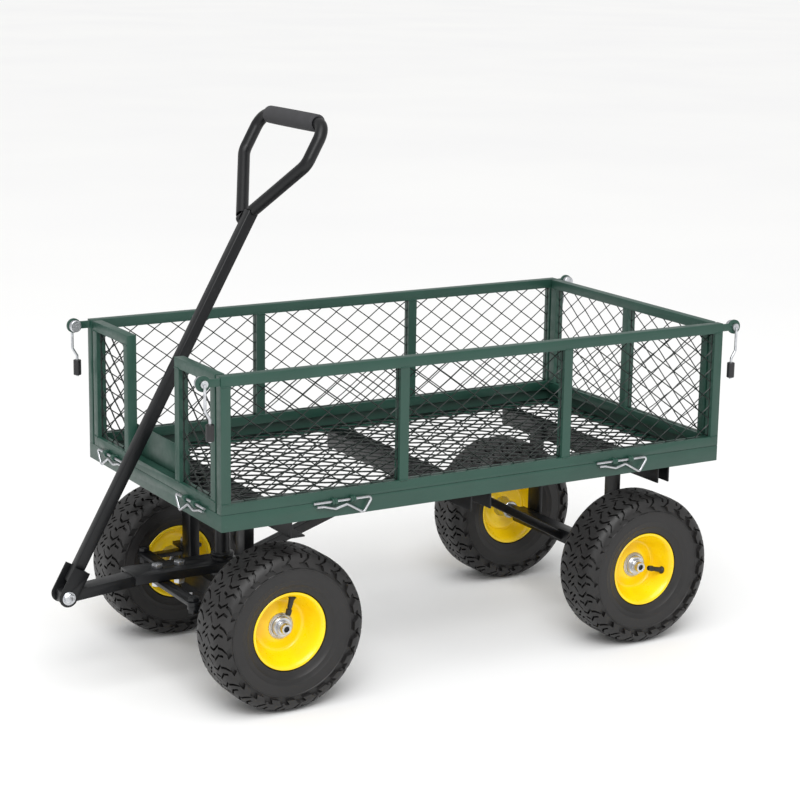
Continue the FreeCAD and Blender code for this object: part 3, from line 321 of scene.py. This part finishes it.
def palette():
    """The cart's materials, made once."""
    if "Green powder coat" not in bpy.data.materials:
        s = settings()
        powder_coat("Green powder coat", tuple(s.green), 0.38, linear("#35574b"), 0.55)
        powder_coat("Green powder coat on expanded mesh", tuple(s.mesh_green), 0.4,
                    linear("#3a4c46"), 0.4)
        powder_coat("Black powder coat", tuple(s.black), 0.34, linear("#2e2f32"), 0.35)
        enamel("Yellow wheel enamel", tuple(s.yellow))
        zinc("Bright zinc plate", tuple(s.zinc), 0.3)
        rubber("Tyre rubber", tuple(s.rubber), linear("#211f1f"), 1.2, 0.5)
        rubber("Valve rubber", linear("#151516"), linear("#242426"), 1.0, 0.5)
        rubber("Dipped vinyl", linear("#161617"), linear("#26262a"), 1.6, 0.42)
        rubber("Closed-cell foam", linear("#323234"), linear("#3f3f42"), 1.1, 0.85)
    return bpy.data.materials


class CartSettings(bpy.types.PropertyGroup):
    """Sizes and colours of the cart's finished pieces."""

    green: bpy.props.FloatVectorProperty(
        name="Tray and sides", description="Powder coat of the tray and the sides",
        subtype="COLOR", size=4, min=0, max=1, default=linear("#1d4136"))
    mesh_green: bpy.props.FloatVectorProperty(
        name="Mesh", description="Powder coat of the expanded metal",
        subtype="COLOR", size=4, min=0, max=1, default=linear("#111a17"))
    black: bpy.props.FloatVectorProperty(
        name="Running gear", description="Powder coat of the running gear and the handle",
        subtype="COLOR", size=4, min=0, max=1, default=linear("#0f1012"))
    yellow: bpy.props.FloatVectorProperty(
        name="Wheels", description="Enamel of the pressed wheels",
        subtype="COLOR", size=4, min=0, max=1, default=linear("#ffda00"))
    zinc: bpy.props.FloatVectorProperty(
        name="Zinc", description="Plating of pins, hubs and fasteners",
        subtype="COLOR", size=4, min=0, max=1, default=linear("#d2d4d8"))
    rubber: bpy.props.FloatVectorProperty(
        name="Tyres", description="Rubber of the tyres",
        subtype="COLOR", size=4, min=0, max=1, default=linear("#141313"))
    mesh_long: bpy.props.FloatProperty(
        name="Diamond width", description="Long diagonal of a mesh diamond",
        default=0.044, min=0.01, unit="LENGTH")
    mesh_short: bpy.props.FloatProperty(
        name="Diamond height", description="Short diagonal of a mesh diamond",
        default=0.032, min=0.01, unit="LENGTH")
    side_strand: bpy.props.FloatProperty(
        name="Side strand", description="Strand width of the side mesh",
        default=0.0029, min=0.001, unit="LENGTH")
    deck_strand: bpy.props.FloatProperty(
        name="Deck strand", description="Strand width of the deck",
        default=0.0042, min=0.001, unit="LENGTH")
    tread_depth: bpy.props.FloatProperty(
        name="Tread depth", description="Height of the tread blocks",
        default=0.0056, min=0.001, unit="LENGTH")
    tread_blocks: bpy.props.IntProperty(
        name="Tread pitches", description="Repeats of the tread around a tyre",
        default=24, min=8)


# ------------------------------------------------------------------ steelwork

ROUNDED = [
    # node, body, slot, material, edge radius in mm
    ("tray_frame", "bed", "green_paint", "Green powder coat", 0.9),
    ("gap_plate", "bed", "green_paint", "Green powder coat", 0.5),
    ("cross_member_front", "bed", "black_paint", "Black powder coat", 0.8),
    ("cross_member_middle", "bed", "black_paint", "Black powder coat", 0.8),
    ("cross_member_rear", "bed", "black_paint", "Black powder coat", 0.8),
    ("front_legs", "bed", "black_paint", "Black powder coat", 1.6),
    ("front_beam", "bed", "black_paint", "Black powder coat", 1.2),
    ("steering_column", "bed", "black_paint", "Black powder coat", 0.8),
    ("rear_legs", "bed", "black_paint", "Black powder coat", 0.9),
    ("rear_axle", "bed", "black_paint", "Black powder coat", 1.2),
    ("brace_front", "bed", "black_paint", "Black powder coat", 1.2),
    ("brace_rear", "bed", "black_paint", "Black powder coat", 1.6),
    ("knuckle_bolts", "bed", "zinc_plate", "Bright zinc plate", 0.7),
    ("rear_washers", "bed", "zinc_plate", "Bright zinc plate", 0.4),
    ("drawbar", "steering", "black_paint", "Black powder coat", 0.9),
    ("tie_bolts", "steering", "zinc_plate", "Bright zinc plate", 0.7),
    ("handle_bracket", "handle", "black_paint", "Black powder coat", 0.7),
    ("handle_pole", "handle", "black_paint", "Black powder coat", 1.8),
]
ROUNDED += [row for side in SIDES for row in (
    ("panel_frame_" + side, "panel_" + side, "green_paint", "Green powder coat", 1.4),
    ("knuckle_" + side, "knuckle_body_" + side, "black_paint", "Black powder coat", 0.7),
    ("tie_rod_" + side, "rod_" + side, "black_paint", "Black powder coat", 0.7),
)]
ROUNDED += [
    ("panel_frame_" + end, "panel_" + end, "green_paint", "Green powder coat", 1.4) for end in ENDS
]


class CART_OT_steelwork(bpy.types.Operator):
    """Rounds the edges of the folded, welded and machined steel"""

    bl_idname = "cart.steelwork"
    bl_label = "Steelwork"

    def execute(self, context):
        for node, body, slot, material, radius in ROUNDED:
            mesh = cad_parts[node].data.copy()
            obj = bpy.data.objects.new(node + "_rounded", mesh)
            context.scene.collection.objects.link(obj)
            edit(obj)
            bpy.ops.mesh.remove_doubles(threshold=0.000005)
            bpy.ops.mesh.dissolve_limited(angle_limit=math.radians(0.5))
            leave()
            use_modifier(obj, "BEVEL", width=radius * MM, segments=2, limit_method="ANGLE",
                         angle_limit=math.radians(40), use_clamp_overlap=True)
            finish(obj, body, palette()[material], 35, [node])
        return {"FINISHED"}


# ------------------------------------------------------------------ expanded metal

def diamond_sheet(name, width, height, strand, relief):
    """Flat expanded metal about the origin: diamonds cut from a poked grid, then given strands."""
    s = settings()
    across = math.ceil(width / s.mesh_long) + 1
    up = math.ceil(height / s.mesh_short) + 1
    bpy.ops.object.select_all(action="DESELECT")
    bpy.ops.mesh.primitive_grid_add(
        x_subdivisions=across, y_subdivisions=up, size=1, location=(0, 0, 0))
    obj = bpy.context.object
    obj.name = name
    obj.scale = (across * s.mesh_long, up * s.mesh_short, 1)
    place_applied(obj)
    edit(obj)
    bpy.ops.mesh.poke()
    shape = bmesh.from_edit_mesh(obj.data)
    for vertex in shape.verts:
        vertex.co.z = relief if len(vertex.link_edges) == 4 else -relief
    for edge in shape.edges:
        a, b = (v.co for v in edge.verts)
        straight = abs(a.x - b.x) < MM or abs(a.y - b.y) < MM
        edge.select_set(straight and not edge.is_boundary)
    bmesh.update_edit_mesh(obj.data)
    bpy.ops.mesh.dissolve_edges(use_verts=False)
    for normal, reach in (
        ((1, 0, 0), width / 2), ((-1, 0, 0), width / 2),
        ((0, 1, 0), height / 2), ((0, -1, 0), height / 2),
    ):
        bpy.ops.mesh.select_all(action="SELECT")
        bpy.ops.mesh.bisect(plane_co=Vector(normal) * reach, plane_no=normal, clear_outer=True)
    leave()
    use_modifier(obj, "WIREFRAME", thickness=strand, use_boundary=True, use_even_offset=False,
                 use_replace=True)
    use_modifier(obj, "BEVEL", width=strand * 0.22, segments=1, limit_method="ANGLE",
                 angle_limit=math.radians(50))
    return obj


def bay_step(low, high):
    """The spacing of a long side's posts, from the box of its mesh."""
    return (high.x - low.x + TUBE) / BAYS


def bay(name, end_or_side, low, high):
    """One upright sheet that fills a bay of a side, in the plane of the bay."""
    size = high - low
    middle = (low + high) / 2
    along_x = size.x > size.y
    obj = diamond_sheet(name, max(size.x, size.y), size.z, settings().side_strand, SIDE_RELIEF)
    turn = Euler((math.pi / 2, 0, 0 if along_x else math.pi / 2)).to_matrix().to_4x4()
    obj.matrix_world = Matrix.Translation(middle) @ turn
    place_applied(obj)
    finish(obj, "panel_" + end_or_side, palette()["Green powder coat on expanded mesh"],
           40, ["panel_mesh_" + end_or_side])


class CART_OT_mesh(bpy.types.Operator):
    """Makes the expanded metal of the deck and of the four sides"""

    bl_idname = "cart.mesh"
    bl_label = "Expanded metal"

    def execute(self, context):
        for side in SIDES:
            low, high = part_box("panel_mesh_" + side)
            step = bay_step(low, high)
            for k in range(BAYS):
                a = Vector((low.x + k * step, low.y, low.z))
                b = Vector((low.x + (k + 1) * step - TUBE, high.y, high.z))
                bay("mesh_%s_%d" % (side, k + 1), side, a, b)
        for end in ENDS:
            low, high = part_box("panel_mesh_" + end)
            inner = TUBE / 2 if end == "rear" else GAP_POST + TUBE / 2
            for side, sign in SIDES.items():
                a = Vector((low.x, low.y if sign < 0 else inner, low.z))
                b = Vector((high.x, -inner if sign < 0 else high.y, high.z))
                bay("mesh_%s_%s" % (end, side), end, a, b)
        low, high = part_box("deck_mesh")
        deck = diamond_sheet(
            "deck_strands", high.x - low.x, high.y - low.y, settings().deck_strand, DECK_RELIEF)
        deck.matrix_world = Matrix.Translation(centre_of("deck_mesh"))
        place_applied(deck)
        finish(deck, "bed", palette()["Green powder coat on expanded mesh"], 40,
               ["deck_mesh"])
        return {"FINISHED"}


# ------------------------------------------------------------------ wheels

# One pitch of the tread, seen from above: each row is a band across the tyre and each mark is one step
# around it. Raised cells are marked #. The rows run from one shoulder to the other.
TREAD = [
    "####....",
    "#####.##",
    ".####.##",
    ".###.###",
    "####.##.",
    "###.####",
    "##.####.",
    ".####.##",
    "###.####",
    "###.###.",
    ".##.####",
    "##.####.",
    "##.#####",
    "....####",
]


def tread_rings():
    """(along, radius) of the rings between the tread bands, from shoulder to shoulder."""
    half = [
        (42.0, 106.5), (41.2, 112.5), (38.6, 117.6), (34.4, 121.0), (27.5, 123.4), (18.5, 124.0),
        (9.0, 124.0),
    ]
    return half + [(0, 124.0)] + mirrored(half)


def make_tyre(name, centre):
    """A tyre with bead, ribbed sidewalls and raised tread blocks."""
    s = settings()
    wall = [
        (29.6, 59.2), (30.4, 61.4), (31.2, 63.6), (33.0, 64.4), (34.2, 65.0), (34.8, 66.6),
        (36.4, 70.5), (38.4, 75.5), (38.9, 76.0), (39.5, 76.9), (39.7, 77.8), (41.0, 84.0),
        (41.3, 84.4), (41.8, 85.6), (41.7, 86.4), (42.2, 92.0), (42.3, 98.0), (42.2, 101.0),
        (42.9, 101.8), (42.9, 103.4), (42.2, 104.2),
    ]
    cavity = [(24.0, 113.0), (33.0, 100.0), (33.0, 80.0), (22.8, 66.0), (22.8, 57.0)]
    rings = tread_rings()
    slant = [0.05 * math.sin(i * math.pi * 2 / 3.5) for i in range(len(rings))]
    tread = [(a, r, t) for (a, r), t in zip(rings, slant)]
    outline = wall + tread + mirrored(wall) + mirrored(cavity) + cavity + wall[:1]
    marks = len(TREAD[0])
    steps = s.tread_blocks * marks
    obj = lathe(name, outline, steps, centre)
    bands = [((rings[i][0] + rings[i + 1][0]) / 2 * MM, i) for i in range(len(rings) - 1)]
    edit(obj)
    bpy.ops.mesh.select_mode(type="FACE")
    shape = bmesh.from_edit_mesh(obj.data)
    shape.faces.ensure_lookup_table()
    for face in shape.faces:
        middle = face.calc_center_median() - centre
        radius = math.hypot(middle.x, middle.z)
        chosen = False
        outward = face.normal.dot(Vector((middle.x, middle.y * 0.7, middle.z))) > 0
        if radius > TREAD_START and abs(middle.y) < TREAD_EDGE and outward:
            band = min((abs(middle.y - along), i) for along, i in bands)[1]
            lean = (slant[band] + slant[band + 1]) / 2 / math.tau
            share = math.atan2(middle.x, middle.z) / math.tau - lean
            chosen = TREAD[band][int(round(share * steps - 0.5)) % marks] == "#"
        face.select_set(chosen)
    bmesh.update_edit_mesh(obj.data)
    bpy.ops.mesh.extrude_region_shrink_fatten(
        TRANSFORM_OT_shrink_fatten={"value": s.tread_depth, "use_even_offset": False})
    leave()
    for vertex in obj.data.vertices:
        out = math.hypot(vertex.co.x - centre.x, vertex.co.z - centre.z)
        if out > TYRE_LIMIT:
            vertex.co.x = centre.x + (vertex.co.x - centre.x) * TYRE_LIMIT / out
            vertex.co.z = centre.z + (vertex.co.z - centre.z) * TYRE_LIMIT / out
    return obj


def rim_outline():
    """Cross-section of the pressed wheel: rolled lips, sloping bowls and a disc with a raised middle."""
    lip = [
        (8, 49.8), (18, 53.6), (26, 57), (30.4, 59), (31.3, 60.6), (31.9, 62.4), (32.9, 63),
        (33.5, 62.2), (33.3, 60.4), (32.4, 58.6), (26, 55), (18, 51.5), (10, 48.4),
    ]
    disc = [
        (4, 46), (-1.6, 43.6), (-3.8, 41.4), (-4.2, 39), (-3.2, 36), (-2.2, 33), (-0.6, 30),
        (0.8, 26), (1.6, 22), (2, 17.2),
    ]
    back = [
        (-0.6, 17.2), (-1, 22), (-1.8, 26), (-3.2, 30), (-4.8, 33), (-5.8, 36), (-6.8, 39),
        (-6.6, 41.8), (-5.6, 44.6),
    ]
    return [(0, 46.6)] + lip + disc + back + mirrored(lip) + [(0, 46.6)]


def make_hub(name, centre):
    """Hub sleeve with its bearing cup and the weld bead that joins it to the disc."""
    outline = [
        (-32, 8.2), (-32, 13.6), (-31, 15.4), (-30, 16), (-6, 16), (-1, 19), (3.6, 20), (5, 19.6),
        (5.6, 18.4), (5.2, 16.4), (6.4, 15.8), (7, 15), (7, 11.4), (6, 11), (6, 8.2), (-32, 8.2),
    ]
    steps = 48
    sleeve = lathe(name, outline, steps, centre)
    ring, along = 20 * MM, 2 * MM
    turns = [math.tau * i / steps for i in range(steps + 1)]
    points = [centre + Vector((ring * math.sin(t), along, ring * math.cos(t))) for t in turns]
    return join(name, [sleeve, weld_line(name + "_bead", points, 1.9 * MM, 0.22)])


def make_axle_end(name, centre):
    """The plated washer, collar and drilled end of a stub axle."""
    outline = [
        (7.5, 8.05), (7.5, 15), (8.1, 15.6), (9.4, 15.6), (10, 15), (10, 11), (13.4, 11),
        (14, 10.4), (14, 8.7), (22, 8.7), (23, 7.9), (23, 5.2), (22.4, 4.6), (20.1, 4.4), (20.1, 0),
    ]
    return lathe(name, outline, 48, centre)


def make_painted_shade_disc(name, centre):
    """A black disc at the floor of the axle end's shallow recess: painted shade that makes the drilled
    centre read as a deep dark bore.
    """
    outline = [(20.15, 0), (20.15, 4.5), (21.6, 4.55), (21.6, 4), (20.6, 3.6), (20.6, 0)]
    return lathe(name, outline, 32, centre)


def make_valve(name, centre):
    """A snap-in valve: moulded rubber foot and stem with a ribbed cap."""
    outline = [
        (-1.5, 0), (-1.5, 6.6), (0.4, 6.6), (1.6, 5.2), (4, 4.4), (17, 3.8), (17.4, 3.2), (19, 3.2),
        (19.4, 4.6), (20.4, 4.9), (21.4, 4.6), (22.4, 4.9), (23.4, 4.6), (24.4, 4.9), (25.4, 4.6),
        (28, 4.5), (29, 3.6), (29, 0),
    ]
    return lathe(name, outline, 32, centre)


# How far each wheel has rolled, in radians, and where its valve stands, in degrees.
ROLLS = {"front_right": 0.11, "front_left": 0.35, "rear_right": 0.2, "rear_left": 0.27}
VALVE_TURNS = {"front_right": 14, "front_left": 200, "rear_right": 105, "rear_left": 60}
VALVE_SEAT = Matrix.Translation((0, 16 * MM, 50.5 * MM)) @ Matrix.Rotation(-math.pi / 2, 4, "X")


class CART_OT_wheels(bpy.types.Operator):
    """Makes the four wheels: tyre, pressed rim, hub, axle end and valve"""

    bl_idname = "cart.wheels"
    bl_label = "Wheels"

    def execute(self, context):
        origin = Vector((0, 0, 0))
        tyre = make_tyre("tyre_pattern", origin)
        rim = lathe("rim_pattern", rim_outline(), 96, origin)
        hub = make_hub("hub_pattern", origin)
        axle_end = make_axle_end("axle_end_pattern", origin)
        # painted shade: a black disc in the axle end's recess stands in for the shade inside a deep
        # drilled bore
        shade_disc = make_painted_shade_disc("hole_pattern", origin)
        valve = make_valve("valve_pattern", origin)
        for end in ENDS:
            for side, sign in SIDES.items():
                which = "%s_%s" % (end, side)
                wheel = "wheel_" + which
                carrier = "bed" if end == "rear" else "knuckle_body_" + side
                place = Matrix.Translation(centre_of("tyre_" + which))
                flip = Matrix.Rotation(math.pi if sign < 0 else 0, 4, "Z")
                still = place @ flip
                rolled = place @ Matrix.Rotation(ROLLS[which], 4, "Y") @ flip
                clock = Matrix.Rotation(math.radians(VALVE_TURNS[which]), 4, "Y")
                seated = place @ clock @ flip @ VALVE_SEAT
                for shape, name, matrix, body, slot, material, smooth, nodes in (
                    (tyre, "tread_", rolled, wheel, "tyre_rubber", "Tyre rubber", 32, ["tyre_"]),
                    (rim, "pressed_rim_", rolled, wheel,
                     "wheel_yellow", "Yellow wheel enamel", 40, ["rim_"]),
                    (hub, "hub_sleeve_", rolled, wheel,
                     "zinc_plate", "Bright zinc plate", 35, ["hub_"]),
                    (axle_end, "axle_end_", still, carrier,
                     "zinc_plate", "Bright zinc plate", 40, []),
                    # painted shade: the black disc darkens the axle end's recess as if it were a deep
                    # bore in shadow
                    (shade_disc, "axle_hole_", still, carrier,
                     "black_paint", "Black powder coat", 40, []),
                    (valve, "snap_valve_", seated, wheel,
                     "valve_rubber", "Valve rubber", 40, ["valve_"]),
                ):
                    piece = turned_copy(shape, name + which, matrix)
                    finish(piece, body, palette()[material], smooth, [n + which for n in nodes])
        for pattern in (tyre, rim, hub, axle_end, shade_disc, valve):
            bpy.data.objects.remove(pattern)
        return {"FINISHED"}


# ------------------------------------------------------------------ welds

def bead(name):
    """A short fillet weld along X about the origin, with the ripples of the weld."""
    half, pitch = 6, 1.15 * MM
    points = [Vector((k * pitch, 0, 0)) for k in range(-half, half + 1)]
    return weld_line(name, points, 1.3 * MM, 0.2)


def frame_welds(pattern, node, body, lines, across):
    """The beads at both ends of each post of a panel, on both faces of the tube."""
    low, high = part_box(node)
    middle = (low + high) / 2
    turn = QUARTER_TURN if across else Matrix.Identity(4)
    beads = []
    for line in lines:
        for level in (low.z, high.z):
            for face in (-TUBE / 2, TUBE / 2):
                spot = (middle.x + face, line, level) if across else (line, middle.y + face, level)
                beads.append(turned_copy(pattern, "bead", Matrix.Translation(spot) @ turn))
    finish(join("welds_" + body, beads), body, palette()["Green powder coat"], 60)


class CART_OT_welds(bpy.types.Operator):
    """Adds the painted weld beads where the posts meet the rails and where the gear is welded up"""

    bl_idname = "cart.welds"
    bl_label = "Weld beads"

    def execute(self, context):
        pattern = bead("bead_pattern")
        for side in SIDES:
            low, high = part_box("panel_mesh_" + side)
            posts = [low.x - TUBE / 2 + k * bay_step(low, high) for k in range(BAYS + 1)]
            frame_welds(pattern, "panel_mesh_" + side, "panel_" + side, posts, False)
        for end in ENDS:
            low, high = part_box("panel_mesh_" + end)
            posts = [low.y - TUBE / 2, high.y + TUBE / 2]
            posts += [-GAP_POST, GAP_POST] if end == "front" else [0]
            frame_welds(pattern, "panel_mesh_" + end, "panel_" + end, posts, True)
        spots = []
        low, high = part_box("front_legs")
        in_from_edge = 15.5 * MM
        for sign in (-1, 1):
            y = sign * (high.y - in_from_edge)
            spots += [(low.x, y + shift, low.z) for shift in (-6 * MM, 6 * MM)]
        low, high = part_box("rear_legs")
        in_from_edge, up_from_foot = 19 * MM, 24 * MM
        for sign in (-1, 1):
            y = sign * (high.y - in_from_edge)
            spots += [(high.x, y + shift, low.z + up_from_foot) for shift in (-12 * MM, 0, 12 * MM)]
        gear = [turned_copy(pattern, "bead", Matrix.Translation(spot) @ QUARTER_TURN) for spot in spots]
        finish(join("welds_bed", gear), "bed", palette()["Black powder coat"], 60)
        bpy.data.objects.remove(pattern)
        return {"FINISHED"}


# ------------------------------------------------------------------ small parts

PLAIN = {"hinge_pins": "Bright zinc plate", "handle_loop": "Black powder coat"}


def foam_sleeve(name, low, high):
    """The foam grip: a thick soft sleeve, a little fuller in its middle and rounded at its ends."""
    half = (high.y - low.y) / 2 / MM
    full = (high.x - low.x) / 2 / MM
    outer = [(-half, 10.6), (-half, full - 2.6), (0.7 - half, full - 1.1), (2.4 - half, full - 0.3)]
    swell = [(half * k / 4, full - 0.25 * (k / 4) ** 2 + 0.05) for k in (-3, -2, -1, 0, 1, 2, 3)]
    bore = [(half - 1, 10.05), (1 - half, 10.05)]
    return lathe(name, outer + swell + mirrored(outer) + bore + outer[:1], 64, (low + high) / 2)


def hex_bolt(name, low, high):
    """The pivot bolt: a six-sided head on a washer at each end of its shank."""
    middle = (low + high) / 2
    half = (high.y - low.y) / 2 / MM
    rod = [(-half, 0), (-half, 3), (0.8 - half, 4.6), (half - 1, 4.9), (half, 3), (half, 0)]
    shank = lathe(name, rod, 32, middle)
    washer = [
        (half - 7, 5), (half - 7, 10.4), (half - 6.6, 10.8), (half - 5.4, 10.8), (half - 5, 10.4),
        (half - 5, 5),
    ]
    head = [(half - 5, 5), (half - 5, 9.2), (half - 1.5, 9.2), (half - 0.7, 8.2), (half - 0.7, 5)]
    heads = []
    for sign in (-1, 1):
        heads.append(lathe(name, [(sign * a, r) for a, r in washer], 48, middle))
        heads.append(lathe(name, [(sign * a, r) for a, r in head], 6, middle))
    return join(name, [shank] + heads)


class CART_OT_small_parts(bpy.types.Operator):
    """Gives the pins, the latches and the loop their finishes, and makes the grip and the pivot bolt"""

    bl_idname = "cart.small_parts"
    bl_label = "Small parts"

    def execute(self, context):
        chosen = dict(PLAIN)
        for end in ENDS:
            for side in SIDES:
                chosen["latch_%s_%s" % (end, side)] = "Bright zinc plate"
                chosen["latch_grip_%s_%s" % (end, side)] = "Dipped vinyl"
        for node, material in chosen.items():
            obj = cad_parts[node]
            obj.data.materials.clear()
            obj.data.materials.append(palette()[material])
        grip = foam_sleeve("foam_grip", *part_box("handle_grip"))
        finish(grip, "handle", palette()["Closed-cell foam"], 40, ["handle_grip"])
        bolt = hex_bolt("pivot_hex_bolt", *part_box("pivot_bolt"))
        finish(bolt, "steering", palette()["Bright zinc plate"], 35, ["pivot_bolt"])
        return {"FINISHED"}


# ------------------------------------------------------------------ stage

class CART_OT_stage(bpy.types.Operator):
    """Sets the floor, the lights and the camera"""

    bl_idname = "cart.stage"
    bl_label = "Stage"

    def execute(self, context):
        scene = context.scene
        scene.view_settings.view_transform = "Standard"
        bpy.ops.object.select_all(action="DESELECT")
        bpy.ops.mesh.primitive_plane_add(size=60, location=(0, 0, 0))
        floor = context.object
        floor.name = "floor"
        material, tree, shader, place = new_material("Pale studio floor")
        cloud = add_node(tree, "ShaderNodeTexNoise", {"Vector": place, "Scale": 0.7, "Detail": 2.0})
        tone = mixed_colour(tree, cloud.outputs[0], 0.3, 0.7, linear("#f6f6f5"), linear("#f3f3f3"))
        tree.links.new(tone, shader.inputs["Base Color"])
        shader.inputs["Roughness"].default_value = 0.9
        floor.data.materials.append(material)
        world = bpy.data.worlds.new("Studio")
        scene.world = world
        world.use_nodes = True
        sky = world.node_tree.nodes["Background"]
        sky.inputs["Color"].default_value = linear("#ffffff")
        sky.inputs["Strength"].default_value = 0.62
        target = Vector((0, 0, 0.3))
        for name, kind, spot, size, power in (
            ("overhead", "SUN", (-1.0, -1.4, 4.0), math.radians(50), 1.45),
            ("key", "AREA", (-1.6, -3.4, 3.2), 2.4, 95),
        ):
            data = bpy.data.lights.new(name, kind)
            data.energy = power
            setattr(data, "angle" if kind == "SUN" else "size", size)
            light = bpy.data.objects.new(name, data)
            light.location = spot
            light.rotation_euler = (target - Vector(spot)).to_track_quat("-Z", "Y").to_euler()
            scene.collection.objects.link(light)
        middle = centre_of("tray_frame")
        aim = Vector((middle.x - 0.0116, middle.y + 0.0008, 0.4135))
        azimuth, elevation, roll = (math.radians(angle) for angle in (-30.77, 13.03, 0.9))
        distance = 3.5917
        level = math.cos(elevation)
        back = Vector((math.sin(azimuth) * level, -math.cos(azimuth) * level, math.sin(elevation)))
        data = bpy.data.cameras.new("camera")
        data.sensor_width = 36
        data.lens = 95.6
        data.clip_end = 200
        camera = bpy.data.objects.new("camera", data)
        scene.collection.objects.link(camera)
        turn = (-back).to_track_quat("-Z", "Y").to_matrix() @ Matrix.Rotation(roll, 3, "Z")
        camera.matrix_world = Matrix.Translation(aim + back * distance) @ turn.to_4x4()
        scene.camera = camera
        return {"FINISHED"}


# ------------------------------------------------------------------ add-on

OPERATORS = (
    CART_OT_stage, CART_OT_steelwork, CART_OT_mesh, CART_OT_wheels, CART_OT_welds, CART_OT_small_parts,
)


class CART_PT_panel(bpy.types.Panel):
    """Lists the cart's settings and its operators"""

    bl_label = "Garden Cart"
    bl_idname = "CART_PT_panel"
    bl_space_type = "VIEW_3D"
    bl_region_type = "UI"
    bl_category = "Cart"

    def draw(self, context):
        for name in CartSettings.__annotations__:
            self.layout.prop(context.scene.garden_cart, name)
        for operator in OPERATORS:
            self.layout.operator(operator.bl_idname)


def register():
    for item in (CartSettings, *OPERATORS, CART_PT_panel):
        bpy.utils.register_class(item)
    bpy.types.Scene.garden_cart = bpy.props.PointerProperty(type=CartSettings)


def unregister():
    del bpy.types.Scene.garden_cart
    for item in (CART_PT_panel, *reversed(OPERATORS), CartSettings):
        bpy.utils.unregister_class(item)


def main():
    register()
    bpy.ops.cart.stage()
    bpy.ops.cart.steelwork()
    bpy.ops.cart.mesh()
    bpy.ops.cart.wheels()
    bpy.ops.cart.welds()
    bpy.ops.cart.small_parts()


if __name__ == "__main__":
    main()
